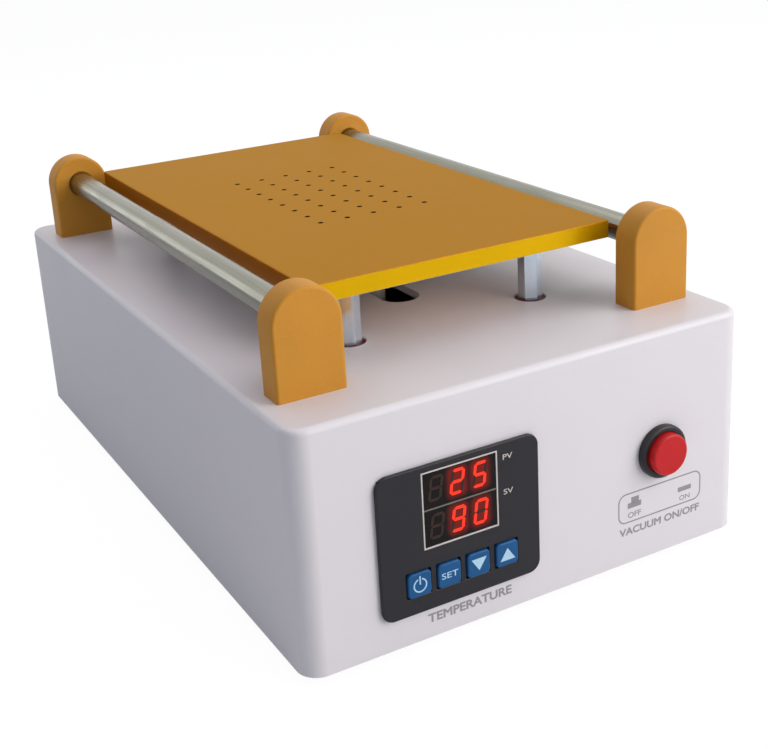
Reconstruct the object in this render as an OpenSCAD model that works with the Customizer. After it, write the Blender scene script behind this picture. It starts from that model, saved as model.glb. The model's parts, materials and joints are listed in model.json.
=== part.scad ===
// Vacuum screen separator: a heated suction plate on posts above a case that holds the pump and controls.
// Millimetres, +Z up, front towards -Y, origin on the resting surface under the middle of the case.

/* [Case] */
// Width of the case
case_w = 140; // [136:1:180]
// Depth of the case
case_d = 226; // [224:1:260]
// Height of the case above its feet
case_h = 66.6; // [62:0.1:90]
// Wall thickness of the case
case_wall = 2.4; // [1.8:0.1:3]
// Radius of the upright corners
corner_r = 6; // [5:0.5:12]
// Radius of the edge round the top
edge_r = 1.8; // [0.8:0.1:2.4]
// Thickness of the base sheet
base_t = 1.5; // [1:0.1:2]
// Height of the rubber feet
foot_h = 3; // [2.4:0.1:6]
// Diameter of the rubber feet
foot_d = 14; // [12:0.5:18]

/* [Plate] */
// Width of the heating plate
plate_w = 95.4; // [92:0.1:98]
// Length of the heating plate
plate_d = 167; // [156:1:170]
// Thickness of the heating plate
plate_t = 5; // [4.5:0.1:6]
// Space between the case and the heating plate
plate_gap = 18; // [16:0.1:24]
// Suction holes across the plate
holes_x = 5; // [3:1:5]
// Suction holes along the plate
holes_y = 8; // [6:1:8]
// Distance between suction holes
hole_pitch = 8.9; // [7:0.1:9]
// Diameter of a suction hole
hole_d = 1.5; // [1:0.1:2.5]
// How far the plate, posts and brackets sit behind the middle of the case
deck_y = 1; // [0:0.5:2]

/* [Rods and brackets] */
// Diameter of the guide rods
rod_d = 8; // [6:0.5:9]
// Height of the rod axis above the case
rod_h = 18.7; // [16:0.1:24]
// Space between a guide rod and the heating plate
rod_gap = 3.1; // [1:0.1:4.5]
// Width of a rod bracket
bracket_w = 19.2; // [17:0.1:20]
// Thickness of a rod bracket
bracket_t = 8.7; // [7.5:0.1:10]
// Space between a rod bracket and the heating plate
bracket_gap = 5.25; // [3.5:0.25:6.5]
// Depth of the blind socket for a rod
socket_depth = 6; // [4:0.5:6.5]

/* [Posts] */
// Width across the flats of a post
post_af = 6; // [5:0.5:8]
// Distance of the posts in from the sides of the plate
post_in_x = 17.8; // [14:0.1:19.5]
// Distance of the posts in from the ends of the plate
post_in_y = 14.4; // [12:0.1:15]
// Diameter of the hole in the case round a post
post_hole_d = 9.4; // [9.4:0.1:11]

/* [Front panel] */
// Width of the controller bezel
bezel_w = 47.8; // [47:0.1:52]
// Height of the controller bezel
bezel_h = 40.1; // [39:0.1:44]
// How far the bezel stands out of the case
bezel_t = 1.2; // [0.8:0.1:2]
// Distance of the controller left of the middle
bezel_x = 24.8; // [24.6:0.1:30]
// Height of the bezel's middle above the case bottom
bezel_z = 29; // [27:0.25:34]
// Travel of a key
key_travel = 0.4; // [0.2:0.1:0.6]
// Diameter of the suction button
button_d = 12; // [10:0.5:13]
// How far the button stands out of the case
button_out = 4.5; // [3.6:0.1:6]
// Travel of the suction button
button_travel = 2.5; // [1:0.1:3]
// Distance of the button right of the middle
button_x = 40.8; // [38:0.1:46]
// Height of the button above the case bottom
button_z = 31.7; // [28:0.1:40]

/* [Pump] */
// Diameter of the pump motor
motor_d = 24.4; // [22:0.1:26]
// Length of the pump motor
motor_l = 31; // [28:0.5:38]
// Distance of the pump right of the middle
pump_x = 32; // [30:0.5:38]
// Outer diameter of the vacuum hose
hose_d = 6.4; // [6:0.1:7]
// Bore of the vacuum hose
hose_bore = 4.2; // [3.8:0.1:4.6]

/* [Hidden] */
$fn = 64;
over = 1;
fit = 0.3;
slip = 0.1;
run_fit = 0.05;
screw_d = 3;
screw_hole_d = 3.4;
pilot_d = 3.1;
screw_head_d = 5.6;
screw_head_h = 1.8;
nut_af = 5.5;
nut_h = 2.4;

// Heights of the case
case_z = foot_h;
top_z = case_z + case_h;
floor_z = case_z + base_t;
ceiling_z = top_z - case_wall;
front_y = -case_d / 2;
rear_y = case_d / 2;
inner_w = case_w - 2 * case_wall;
inner_d = case_d - 2 * case_wall;

// Corner columns that take the base screws
column_d = 8;
column_inset = 6;
column_x = inner_w / 2 - column_inset;
column_y = inner_d / 2 - column_inset;
base_screw_l = 9;

// Feet and their screws
foot_inset = 18;
foot_x = case_w / 2 - foot_inset;
foot_y = case_d / 2 - foot_inset;
foot_recess_h = foot_h / 2;
foot_screw_l = foot_h - foot_recess_h + base_t + nut_h + slip;

// Vents in the base
vent_w = 3;
vent_l = 22;
vent_pitch = 9;
vent_inset = 29;
vent_y = case_d / 2 - vent_inset;
vent_count = 7;

// Places of the rods, brackets and posts round the plate
rod_x = plate_w / 2 + rod_gap + rod_d / 2;
bracket_y = plate_d / 2 + bracket_gap + bracket_t / 2;
post_x = plate_w / 2 - post_in_x;
post_y = plate_d / 2 - post_in_y;

// Steel plates under the case top that take the bracket and post screws
deck_t = 1.5;
deck_margin = 5;
deck_z = ceiling_z - deck_t;
bracket_screw_x = 5;
bracket_screw_l = 13;

// Post stack
washer_t = 2;
washer_d = post_hole_d - 4 * slip;
post_base_z = ceiling_z + washer_t;
post_l = top_z + plate_gap - post_base_z;
stud_d = 3;
stud_l = 3.6;
stud_bore_d = stud_d + 2 * slip;
post_bore_l = 9;
post_screw_l = deck_t + washer_t + post_bore_l - over;
post_head_d = 5.6;
post_head_h = 2.2;

// Heating plate and what hangs under it
plate_z = top_z + plate_gap;
plate_corner_r = 1;
blind_depth = 3.8;
cavity_margin = 2.5;
cavity_w = (holes_x - 1) * hole_pitch + hole_d + 2 * cavity_margin;
cavity_d = (holes_y - 1) * hole_pitch + hole_d + 2 * cavity_margin;
cavity_h = 4;
flange = 8;
cover_w = cavity_w + 2 * flange;
cover_d = cavity_d + 2 * flange;
cover_floor = 2;
cover_h = cavity_h + cover_floor;
gasket_t = 0.8;
cover_z = plate_z - gasket_t - cover_h;
plate_screw_in = 3;
pad_t = 1.5;
shield_t = 0.8;
pad_margin = 6;
pad_w = plate_w - 2 * pad_margin;
pad_d = plate_d - 2 * pad_margin;
pad_gap = 1.5;
service_d = 18;
window_w = cover_w + 2 * pad_gap;
window_front = cover_d / 2 + pad_gap;
window_back = cover_d / 2 + pad_gap + service_d;
pad_z = plate_z - pad_t;
shield_z = pad_z - shield_t;
post_clear = 1.5;
post_clear_d = post_af / cos(30) + 2 * post_clear;
shield_screw_in = 5;
shield_screw_end = 24;
shield_screw_x = pad_w / 2 - shield_screw_in;
shield_screw_y = pad_d / 2 - shield_screw_end;
sensor_x = 12;
sensor_d = 6;
sensor_h = 4;
sensor_y = cover_d / 2 + service_d / 2 + pad_gap;
cutout_w = 20;
cutout_d = 7.6;
cutout_h = 3.8;
cutout_x = 16;

// Suction nozzle and hose
barb_d = hose_bore - 2 * slip;
nozzle_in = 5.4;
nozzle_y = deck_y - cavity_d / 2 + nozzle_in;
nozzle_neck_d = 5;
nozzle_af = 7;
nozzle_hex_h = 3;
barb_l = 9;
nozzle_bore = 2;
hose_top_z = cover_z - nozzle_hex_h - slip;
hose_bend = 12;
pump_z = 24;
pump_axis_z = case_z + pump_z;
pump_front_y = nozzle_y + 2 * hose_bend;
port_z = 5;
hose_z = pump_axis_z + port_z;
port_l = 8;

// Pump
head_lip = 1.3;
head_w = motor_d + 2 * head_lip;
head_h = 12;
crank_l = 18;
crank_wall = 2;
motor_wall = 1;
motor_y = pump_front_y + head_h + crank_l;
shaft_d = 2;
bearing_wall = 2;
boss_d = 8;
boss_l = 2;
armature_gap = 1.5;
armature_end = 2.5;
armature_d = motor_d - 2 * motor_wall - 2 * armature_gap;
armature_l = motor_l - 2 * bearing_wall - 2 * armature_end;
eccentric_d = 10;
eccentric_l = 5;
eccentric_off = 1.5;
eccentric_gap = 2;
strap_t = 1.4;
strap_l = 14;
cradle_ear_w = 8;
cradle_w = motor_d + 2 * strap_t + 2 * cradle_ear_w;
cradle_ear_t = 3;

// Controller
bezel_cx = -bezel_x;
bezel_cz = case_z + bezel_z;
window_open_w = 22;
window_open_h = 20.8;
window_top = 1.9;
key_count = 4;
key_space = 2;
key_w = 6.8;
key_h = 6.8;
key_pitch = key_w + key_space;
key_bottom = 5.1;
bezel_r = 3.4;
bezel_lip = 1;
housing_w = bezel_w - 2 * bezel_lip;
housing_h = bezel_h - 2 * bezel_lip;
housing_wall = 0.9;
housing_l = 52;
window_cz = bezel_cz + bezel_h / 2 - window_top - window_open_h / 2;
window_t = 0.8;
window_sink = 0.2;
led_lap = 0.3;
led_gap = 0.2;
led_w = window_open_w + 2 * led_lap;
led_pitch = window_open_h / 2;
led_h = led_pitch - led_gap;
led_t = 7;
window_y = front_y - bezel_t + window_sink;
led_y = front_y;
board_t = 1.6;
board_y = led_y + led_t;
key_cz = bezel_cz - bezel_h / 2 + key_bottom + key_h / 2;
key_out = 0.6;
key_gap = 0.15;
key_lip = 0.6;
key_lip_t = 0.8;
key_front_y = front_y - bezel_t - key_out;
key_body_l = key_out + bezel_t + fit;
key_stem_d = 3;
key_switch_w = 6;
key_switch_h = 3.5;
key_stem_in = 1;
terminal_w = 34;
terminal_d = 10;
terminal_h = 12;
terminal_ways = 6;
terminal_screw_d = 3;
terminal_pitch = terminal_w / terminal_ways;
terminal_hole_y = terminal_d - terminal_screw_d;

// Suction switch
button_cz = case_z + button_z;
barrel_wall = 0.9;
barrel_d = button_d + 2 * run_fit + 2 * barrel_wall;
barrel_lip = 0.8;
barrel_flange_d = barrel_d + 2 * barrel_lip;
barrel_flange_t = 2.2;
barrel_l = 12;
button_l = 13;
button_stem_d = 5;
button_stem_l = 8;
switch_wall = 0.85;
switch_w = barrel_d + 2 * switch_wall;
switch_l = 15;
switch_nut_wall = 1.7;
switch_nut_af = barrel_d + 2 * switch_nut_wall;
switch_nut_t = 3;
button_front_y = front_y - button_out;
barrel_end_y = front_y + barrel_l;

// Inlet socket on the rear wall
inlet_inset = 36;
inlet_x = case_w / 2 - inlet_inset;
inlet_z = 30;
inlet_cz = case_z + inlet_z;
inlet_open_w = 24.6;
inlet_open_h = 16.6;
inlet_chamfer = 4;
inlet_depth = 17;
inlet_wall = 1.7;
inlet_body_w = inlet_open_w + 2 * inlet_wall;
inlet_body_h = inlet_open_h + 2 * inlet_wall;
inlet_flange_w = 50;
inlet_flange_h = 23;
inlet_flange_t = 2.6;
inlet_screw_x = 20;
pin_w = 2;
pin_h = 4;
pin_l = 15;
pin_tail = 7;
pin_x = 7;
pin_rise = 2;

// Rocker switch on the rear wall
rocker_space = 9.5;
rocker_cz = inlet_cz;
rocker_flange_w = 15;
rocker_x = inlet_x - (inlet_flange_w + rocker_flange_w) / 2 - rocker_space;
rocker_flange_h = 21;
rocker_flange_t = 2;
rocker_body_w = 13;
rocker_body_h = 19;
rocker_body_l = 15;
rocker_wall = 1.2;
rocker_room_w = rocker_body_w - 2 * rocker_wall;
rocker_w = rocker_room_w - 2 * slip;
rocker_end = 1.1;
rocker_r = rocker_body_h / 2 - rocker_end;
rocker_tilt = 8;
rocker_rise = 1;
rocker_under = 4;
rocker_pin_d = 2.4;
rocker_pin_in = 0.9;
rocker_pin_l = rocker_w + 2 * rocker_pin_in;
rocker_axis_out = 0.6;
rocker_axis_y = rear_y + rocker_axis_out;
rocker_room = 10;

// Power supply
supply_w = 46;
supply_d = 84;
supply_gap = 2.6;
supply_x = (supply_w - inner_w) / 2 + supply_gap;
supply_y = 22;
pillar_h = 6;
pillar_d = 6;
supply_z = floor_z + pillar_h;
supply_hole_in = 4;
supply_hole_x = supply_w / 2 - supply_hole_in;
supply_hole_y = supply_d / 2 - supply_hole_in;
transformer_w = 22;
transformer_d = 19;
transformer_h = 17;
capacitor_d = 16;
capacitor_h = 22;
capacitor_y = transformer_d / 2 + capacitor_d;

// Leads
lead_d = 2;
lead_gap = 3.2;
lead_z = cover_z - lead_d;
sensor_lead_z = lead_z - lead_gap;
lead_set = 14;
lead_slot_y = nozzle_y + lead_set;
lead_turn_z = ceiling_z - 2 * lead_gap;

// Slot in the case top for the hose and the leads
slot_w = 12;
slot_lead = 21.3;
slot_front = slot_lead - nozzle_y;
slot_end = 4.3;
slot_back = lead_slot_y + lead_gap + slot_end;
slot_l = slot_front + slot_back;
slot_y = (slot_back - slot_front) / 2;

// Shared shapes

// Rectangle with round corners
module round_plan(w, d, r) {
    square([w - 2 * r, d], center = true);
    square([w, d - 2 * r], center = true);
    for (sx = [-1, 1], sy = [-1, 1])
        translate([sx * (w / 2 - r), sy * (d / 2 - r)])
            circle(r);
}

// Slot outline with round ends, long along Y
module slot_plan(w, l) {
    square([w, l - w], center = true);
    for (sy = [-1, 1])
        translate([0, sy * (l - w) / 2])
            circle(w / 2);
}

// Bar along Y, from y to y + l
module y_bar(d, l) {
    rotate([-90, 0, 0])
        cylinder(h = l, d = d);
}

// Ring along Y
module y_ring(d, bore, l) {
    difference() {
        y_bar(d, l);
        translate([0, -over, 0])
            y_bar(bore, l + 2 * over);
    }
}

// Screw pointing up, with its head below z = 0
module screw_up(d, l, head_d, head_h) {
    cylinder(h = l, d = d);
    translate([0, 0, -head_h])
        cylinder(h = head_h, d = head_d);
}

// Screw pointing down, with its head above z = 0
module screw_down(d, l, head_d, head_h) {
    mirror([0, 0, 1])
        screw_up(d, l, head_d, head_h);
}

// Hexagon by its width across the flats
module hex_bar(af, h) {
    cylinder(h = h, d = af / cos(30), $fn = 6);
}

// Round wire through a list of points
module wire(points, d) {
    for (i = [0 : len(points) - 2]) {
        a = points[i];
        v = points[i + 1] - a;
        translate(a)
            rotate([0, acos(v[2] / norm(v)), atan2(v[1], v[0])])
                cylinder(h = norm(v), d = d, $fn = 24);
        if (i > 0)
            translate(a)
                sphere(d = d, $fn = 24);
    }
}

// All four places of a pair of offsets, about the deck's middle or the case's
module four(x, y, cy = 0) {
    for (sx = [-1, 1], sy = [-1, 1])
        translate([sx * x, cy + sy * y, 0])
            children();
}

// Case

// Upright section of the case, w wide, with its two top corners rounded
module case_section(w) {
    translate([-w / 2, 0])
        square([w, case_h - edge_r]);
    translate([edge_r - w / 2, 0])
        square([w - 2 * edge_r, case_h]);
    for (s = [-1, 1])
        translate([s * (w / 2 - edge_r), case_h - edge_r])
            circle(edge_r);
}

module case_outer() {
    rotate([90, 0, 0])
        translate([0, 0, corner_r - case_d / 2])
            linear_extrude(case_d - 2 * corner_r)
                case_section(case_w);
    rotate([90, 0, 90])
        translate([0, 0, corner_r - case_w / 2])
            linear_extrude(case_w - 2 * corner_r)
                case_section(case_d);
    four(case_w / 2 - corner_r, case_d / 2 - corner_r)
        rotate_extrude()
            intersection() {
                case_section(2 * corner_r);
                square([corner_r, case_h]);
            }
}

module case_shell() {
    color("gainsboro")
        difference() {
            union() {
                difference() {
                    translate([0, 0, case_z])
                        case_outer();
                    translate([0, 0, case_z - over])
                        linear_extrude(case_h - case_wall + over)
                            round_plan(inner_w, inner_d, corner_r - case_wall);
                }
                four(column_x, column_y)
                    translate([0, 0, floor_z])
                        cylinder(h = ceiling_z - floor_z + case_wall / 2, d = column_d);
            }
            four(column_x, column_y)
                translate([0, 0, floor_z - over])
                    cylinder(h = base_screw_l + over, d = pilot_d);
            translate([0, slot_y, ceiling_z - over])
                linear_extrude(case_wall + 2 * over)
                    slot_plan(slot_w, slot_l);
            four(post_x, post_y, deck_y)
                translate([0, 0, ceiling_z - over])
                    cylinder(h = case_wall + 2 * over, d = post_hole_d);
            four(rod_x, bracket_y, deck_y)
                for (s = [-1, 1])
                    translate([s * bracket_screw_x, 0, ceiling_z - over])
                        cylinder(h = case_wall + 2 * over, d = screw_hole_d);
            translate([bezel_cx, front_y - over, bezel_cz])
                rotate([-90, 0, 0])
                    linear_extrude(case_wall + 2 * over)
                        square([housing_w + fit, housing_h + fit], center = true);
            translate([button_x, front_y - over, button_cz])
                y_bar(barrel_d + 2 * slip, case_wall + 2 * over);
            translate([inlet_x, rear_y - case_wall - over, inlet_cz])
                rotate([-90, 0, 0])
                    linear_extrude(case_wall + 2 * over)
                        square([inlet_body_w + fit, inlet_body_h + fit], center = true);
            for (s = [-1, 1])
                translate([inlet_x + s * inlet_screw_x, rear_y - case_wall - over, inlet_cz])
                    y_bar(screw_hole_d, case_wall + 2 * over);
            translate([rocker_x, rear_y - case_wall - over, rocker_cz])
                rotate([-90, 0, 0])
                    linear_extrude(case_wall + 2 * over)
                        square([rocker_body_w + fit, rocker_body_h + fit], center = true);
        }
}

// Places of the four pillars under the supply board
module supply_pillars() {
    for (sx = [-1, 1], sy = [-1, 1])
        translate([supply_x + sx * supply_hole_x, supply_y + sy * supply_hole_y, 0])
            children();
}

// Places of the two cradle screws
module cradle_ears() {
    for (s = [-1, 1])
        translate([pump_x + s * (cradle_w - cradle_ear_w) / 2, motor_y + motor_l / 2, 0])
            children();
}

module base_plate() {
    color("silver")
        difference() {
            union() {
                translate([0, 0, case_z])
                    linear_extrude(base_t)
                        round_plan(inner_w - 2 * fit, inner_d - 2 * fit, corner_r - case_wall - fit);
                supply_pillars()
                    translate([0, 0, case_z])
                        cylinder(h = base_t + pillar_h, d = pillar_d);
            }
            four(column_x, column_y)
                translate([0, 0, case_z - over])
                    cylinder(h = base_t + 2 * over, d = screw_hole_d);
            four(foot_x, foot_y)
                translate([0, 0, case_z - over])
                    cylinder(h = base_t + 2 * over, d = screw_hole_d);
            supply_pillars()
                translate([0, 0, floor_z])
                    cylinder(h = pillar_h + over, d = pilot_d);
            cradle_ears()
                translate([0, 0, case_z - over])
                    cylinder(h = base_t + 2 * over, d = pilot_d);
            for (sy = [-1, 1], i = [0 : vent_count - 1])
                translate([(i - (vent_count - 1) / 2) * vent_pitch, sy * vent_y, case_z - over])
                    linear_extrude(base_t + 2 * over)
                        slot_plan(vent_w, vent_l);
        }
}

module base_screws() {
    color("dimgray")
        four(column_x, column_y)
            translate([0, 0, case_z])
                screw_up(screw_d, base_t + base_screw_l - over, screw_head_d, screw_head_h);
}

module foot(sx, sy) {
    color("black")
        translate([sx * foot_x, sy * foot_y, 0])
            difference() {
                cylinder(h = foot_h, d = foot_d);
                translate([0, 0, -over])
                    cylinder(h = foot_recess_h + over, d = screw_head_d + 4 * fit);
                cylinder(h = foot_h + over, d = screw_hole_d);
            }
}

module foot_screws() {
    color("silver")
        four(foot_x, foot_y) {
            translate([0, 0, foot_recess_h])
                screw_up(screw_d, foot_screw_l, screw_head_d, foot_recess_h / 2);
            translate([0, 0, floor_z])
                difference() {
                    hex_bar(nut_af, nut_h);
                    translate([0, 0, -over])
                        cylinder(h = nut_h + 2 * over, d = screw_d + 2 * slip);
                }
        }
}

// Deck plates, brackets and rods

module deck_plate(s) {
    deck_l = bracket_y - post_y + post_af + 2 * deck_margin;
    deck_w = 2 * (rod_x + bracket_screw_x + 0.7 * deck_margin);
    deck_mid = (bracket_y + post_y - post_af) / 2;
    color("silver")
        difference() {
            translate([0, deck_y + s * deck_mid, deck_z])
                linear_extrude(deck_t)
                    square([deck_w, deck_l], center = true);
            for (sx = [-1, 1]) {
                translate([sx * post_x, deck_y + s * post_y, deck_z - over])
                    cylinder(h = deck_t + 2 * over, d = stud_d + 3 * slip);
                for (sb = [-1, 1])
                    translate([sx * rod_x + sb * bracket_screw_x, deck_y + s * bracket_y, deck_z - over])
                        cylinder(h = deck_t + 2 * over, d = screw_hole_d);
            }
        }
}

module bracket(sx, sy) {
    color("goldenrod")
        translate([sx * rod_x, deck_y + sy * bracket_y, top_z])
            difference() {
                translate([0, bracket_t / 2, 0])
                    rotate([90, 0, 0])
                        linear_extrude(bracket_t) {
                            translate([-bracket_w / 2, 0])
                                square([bracket_w, rod_h]);
                            translate([0, rod_h])
                                circle(bracket_w / 2);
                        }
                translate([0, -sy * (bracket_t / 2 - socket_depth / 2 + over / 2), rod_h])
                    rotate([90, 0, 0])
                        cylinder(h = socket_depth + over, d = rod_d + 2 * run_fit, center = true);
                for (s = [-1, 1])
                    translate([s * bracket_screw_x, 0, -over])
                        cylinder(h = bracket_screw_l - deck_t - case_wall + 2 * over, d = pilot_d);
            }
}

module bracket_screws() {
    color("dimgray")
        four(rod_x, bracket_y, deck_y)
            for (s = [-1, 1])
                translate([s * bracket_screw_x, 0, deck_z])
                    screw_up(screw_d, bracket_screw_l, screw_head_d, screw_head_h);
}

module guide_rod(s) {
    rod_end = bracket_y - bracket_t / 2 + socket_depth - fit;
    color("darkgray")
        translate([s * rod_x, deck_y - rod_end, top_z + rod_h])
            y_bar(rod_d, 2 * rod_end);
}

// Posts

module posts() {
    color("lightsteelblue")
        four(post_x, post_y, deck_y)
            translate([0, 0, post_base_z])
                difference() {
                    union() {
                        rotate([0, 0, 30])
                            hex_bar(post_af, post_l);
                        translate([0, 0, post_l - over])
                            cylinder(h = stud_l + over, d = stud_d);
                    }
                    translate([0, 0, -over])
                        cylinder(h = post_bore_l + over, d = stud_bore_d);
                }
}

module post_washers() {
    color("brown")
        four(post_x, post_y, deck_y)
            translate([0, 0, ceiling_z])
                difference() {
                    cylinder(h = washer_t, d = washer_d);
                    translate([0, 0, -over])
                        cylinder(h = washer_t + 2 * over, d = stud_d + 3 * slip);
                }
}

module post_screws() {
    color("dimgray")
        four(post_x, post_y, deck_y)
            translate([0, 0, deck_z])
                screw_up(stud_d, post_screw_l, post_head_d, post_head_h);
}

// Heating plate group

// Places of the six screws of the suction cover
module cover_screw_places() {
    for (sx = [-1, 1], sy = [-1, 0, 1])
        translate([sx * (cover_w - flange) / 2, deck_y + sy * (cover_d - flange) / 2, 0])
            children();
}

module heating_plate() {
    color("darkgoldenrod")
        difference() {
            translate([0, deck_y, plate_z])
                linear_extrude(plate_t)
                    round_plan(plate_w, plate_d, plate_corner_r);
            for (ix = [0 : holes_x - 1], iy = [0 : holes_y - 1])
                translate([(ix - (holes_x - 1) / 2) * hole_pitch, deck_y, plate_z - over])
                    translate([0, (iy - (holes_y - 1) / 2) * hole_pitch, 0])
                    cylinder(h = plate_t + 2 * over, d = hole_d, $fn = 24);
            four(post_x, post_y, deck_y)
                translate([0, 0, plate_z - over])
                    cylinder(h = blind_depth + over, d = stud_bore_d);
            cover_screw_places()
                translate([0, 0, plate_z - over])
                    cylinder(h = blind_depth + over, d = pilot_d);
            four(shield_screw_x, shield_screw_y, deck_y)
                translate([0, 0, plate_z - over])
                    cylinder(h = blind_depth + over, d = pilot_d);
        }
}

module suction_gasket() {
    color("firebrick")
        difference() {
            translate([0, deck_y, plate_z - gasket_t])
                linear_extrude(gasket_t)
                    difference() {
                        square([cover_w, cover_d], center = true);
                        square([cavity_w, cavity_d], center = true);
                    }
            cover_screw_places()
                translate([0, 0, plate_z - gasket_t - over])
                    cylinder(h = gasket_t + 2 * over, d = screw_hole_d);
        }
}

module suction_cover() {
    color("silver")
        difference() {
            translate([0, deck_y, cover_z])
                linear_extrude(cover_h)
                    square([cover_w, cover_d], center = true);
            translate([0, deck_y, cover_z + cover_floor])
                linear_extrude(cavity_h + over)
                    square([cavity_w, cavity_d], center = true);
            cover_screw_places()
                translate([0, 0, cover_z - over])
                    cylinder(h = cover_h + 2 * over, d = screw_hole_d);
            translate([0, nozzle_y, cover_z - over])
                cylinder(h = cover_floor + 2 * over, d = nozzle_neck_d + 2 * slip);
        }
}

module plate_screws() {
    color("dimgray") {
        cover_screw_places()
            translate([0, 0, cover_z])
                screw_up(screw_d, cover_h + gasket_t + plate_screw_in, screw_head_d, screw_head_h);
        four(shield_screw_x, shield_screw_y, deck_y)
            translate([0, 0, shield_z])
                screw_up(screw_d, shield_t + pad_t + plate_screw_in, screw_head_d, screw_head_h);
    }
}

module suction_nozzle() {
    color("gold")
        translate([0, nozzle_y, cover_z])
            difference() {
                union() {
                    cylinder(h = cover_floor, d = nozzle_neck_d);
                    translate([0, 0, -nozzle_hex_h])
                        hex_bar(nozzle_af, nozzle_hex_h);
                    translate([0, 0, -nozzle_hex_h - barb_l])
                        cylinder(h = barb_l + over, d = barb_d);
                }
                translate([0, 0, -nozzle_hex_h - barb_l - over])
                    cylinder(h = nozzle_hex_h + barb_l + cover_floor + 2 * over, d = nozzle_bore);
            }
}

// Sheet under the plate with its window and its holes
module under_sheet(t) {
    difference() {
        linear_extrude(t)
            difference() {
                translate([0, deck_y])
                    square([pad_w, pad_d], center = true);
                translate([-window_w / 2, deck_y - window_front])
                    square([window_w, window_front + window_back]);
            }
        four(post_x, post_y, deck_y)
            translate([0, 0, -over])
                cylinder(h = t + 2 * over, d = post_clear_d);
        four(shield_screw_x, shield_screw_y, deck_y)
            translate([0, 0, -over])
                cylinder(h = t + 2 * over, d = screw_hole_d);
    }
}

module heater_pad() {
    color("orangered")
        translate([0, 0, pad_z])
            under_sheet(pad_t);
}

module heat_shield() {
    color("silver")
        translate([0, 0, shield_z])
            under_sheet(shield_t);
}

module temperature_sensor() {
    color("silver")
        translate([-sensor_x, deck_y + sensor_y, plate_z - sensor_h])
            cylinder(h = sensor_h, d = sensor_d);
}

module thermal_cutout() {
    color("black")
        translate([cutout_x - cutout_w / 2, deck_y + sensor_y - cutout_d / 2, plate_z - cutout_h])
            cube([cutout_w, cutout_d, cutout_h]);
}

// Quarter bend of the hose that starts along +X
module hose_bend_ring(d) {
    rotate_extrude(angle = 90)
        translate([hose_bend, 0])
            circle(d = d);
}

// Hose core: down through the slot, a bend to the side, along, and a bend back to the pump
module hose_core(d, extra) {
    drop_z = hose_z + hose_bend;
    translate([0, nozzle_y, drop_z])
        cylinder(h = hose_top_z - drop_z + extra, d = d);
    translate([hose_bend, nozzle_y, drop_z])
        rotate([90, 180, 0])
            hose_bend_ring(d);
    translate([hose_bend, nozzle_y, hose_z])
        rotate([0, 90, 0])
            cylinder(h = pump_x - 2 * hose_bend, d = d);
    translate([pump_x - hose_bend, nozzle_y + hose_bend, hose_z])
        rotate([0, 0, -90])
            hose_bend_ring(d);
    translate([pump_x, nozzle_y + hose_bend, hose_z])
        y_bar(d, hose_bend - slip + extra);
}

module vacuum_hose() {
    color("whitesmoke")
        difference() {
            hose_core(hose_d, 0);
            hose_core(hose_bore, over);
        }
}

// Heater and sensor leads, under the cover, down the slot and on to the controller's terminals
module plate_leads() {
    tail_y = front_y + housing_l + terminal_d / 2;
    color("crimson") {
        for (s = [-1, 1]) {
            x0 = s * lead_gap / 2;
            x1 = bezel_cx + lead_gap * (s + 2);
            wire([[x0, deck_y + window_back, plate_z - lead_d / 2 - slip],
                [x0, deck_y + window_back - lead_gap, plate_z - lead_d / 2 - slip],
                [x0, deck_y + window_back - lead_gap, lead_z],
                [x0, lead_slot_y, lead_z],
                [x0, lead_slot_y, lead_turn_z - s * lead_gap],
                [x1, lead_slot_y, lead_turn_z - s * lead_gap],
                [x1, tail_y, lead_turn_z - s * lead_gap],
                [x1, tail_y, bezel_cz + terminal_h / 2]], lead_d);
        }
        wire([[-sensor_x, deck_y + sensor_y, plate_z - sensor_h],
            [-sensor_x, deck_y + sensor_y, sensor_lead_z],
            [0, deck_y + sensor_y, sensor_lead_z],
            [0, lead_slot_y + lead_gap, sensor_lead_z],
            [0, lead_slot_y + lead_gap, lead_turn_z - 2 * lead_gap],
            [bezel_cx - 2 * lead_gap, lead_slot_y + lead_gap, lead_turn_z - 2 * lead_gap],
            [bezel_cx - 2 * lead_gap, tail_y, lead_turn_z - 2 * lead_gap],
            [bezel_cx - 2 * lead_gap, tail_y, bezel_cz + terminal_h / 2]], lead_d);
    }
}

// Controller

module controller_bezel() {
    color("darkslategray")
        difference() {
            translate([bezel_cx, front_y, bezel_cz])
                rotate([90, 0, 0])
                    linear_extrude(bezel_t)
                        round_plan(bezel_w, bezel_h, bezel_r);
            translate([bezel_cx, front_y + over, window_cz])
                rotate([90, 0, 0])
                    linear_extrude(bezel_t + 2 * over)
                        square([window_open_w, window_open_h], center = true);
            for (i = [0 : key_count - 1])
                translate([bezel_cx + (i - (key_count - 1) / 2) * key_pitch, front_y + over, key_cz])
                    rotate([90, 0, 0])
                        linear_extrude(bezel_t + 2 * over)
                            square([key_w + 2 * key_gap, key_h + 2 * key_gap], center = true);
        }
}

module controller_housing() {
    color("dimgray")
        difference() {
            translate([bezel_cx, front_y, bezel_cz])
                rotate([-90, 0, 0])
                    linear_extrude(housing_l)
                        square([housing_w, housing_h], center = true);
            translate([bezel_cx, front_y - over, bezel_cz])
                rotate([-90, 0, 0])
                    linear_extrude(housing_l - housing_wall + over)
                        square([housing_w - 2 * housing_wall, housing_h - 2 * housing_wall], center = true);
        }
}

module controller_board() {
    color("darkgreen")
        translate([bezel_cx, board_y, bezel_cz])
            rotate([-90, 0, 0])
                linear_extrude(board_t)
                    square([housing_w - 2 * housing_wall, housing_h - 2 * housing_wall], center = true);
}

module display_modules() {
    color("maroon")
        for (s = [-1, 1])
            translate([bezel_cx - led_w / 2, led_y, window_cz + s * led_pitch / 2 - led_h / 2])
                cube([led_w, led_t, led_h]);
}

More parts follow.
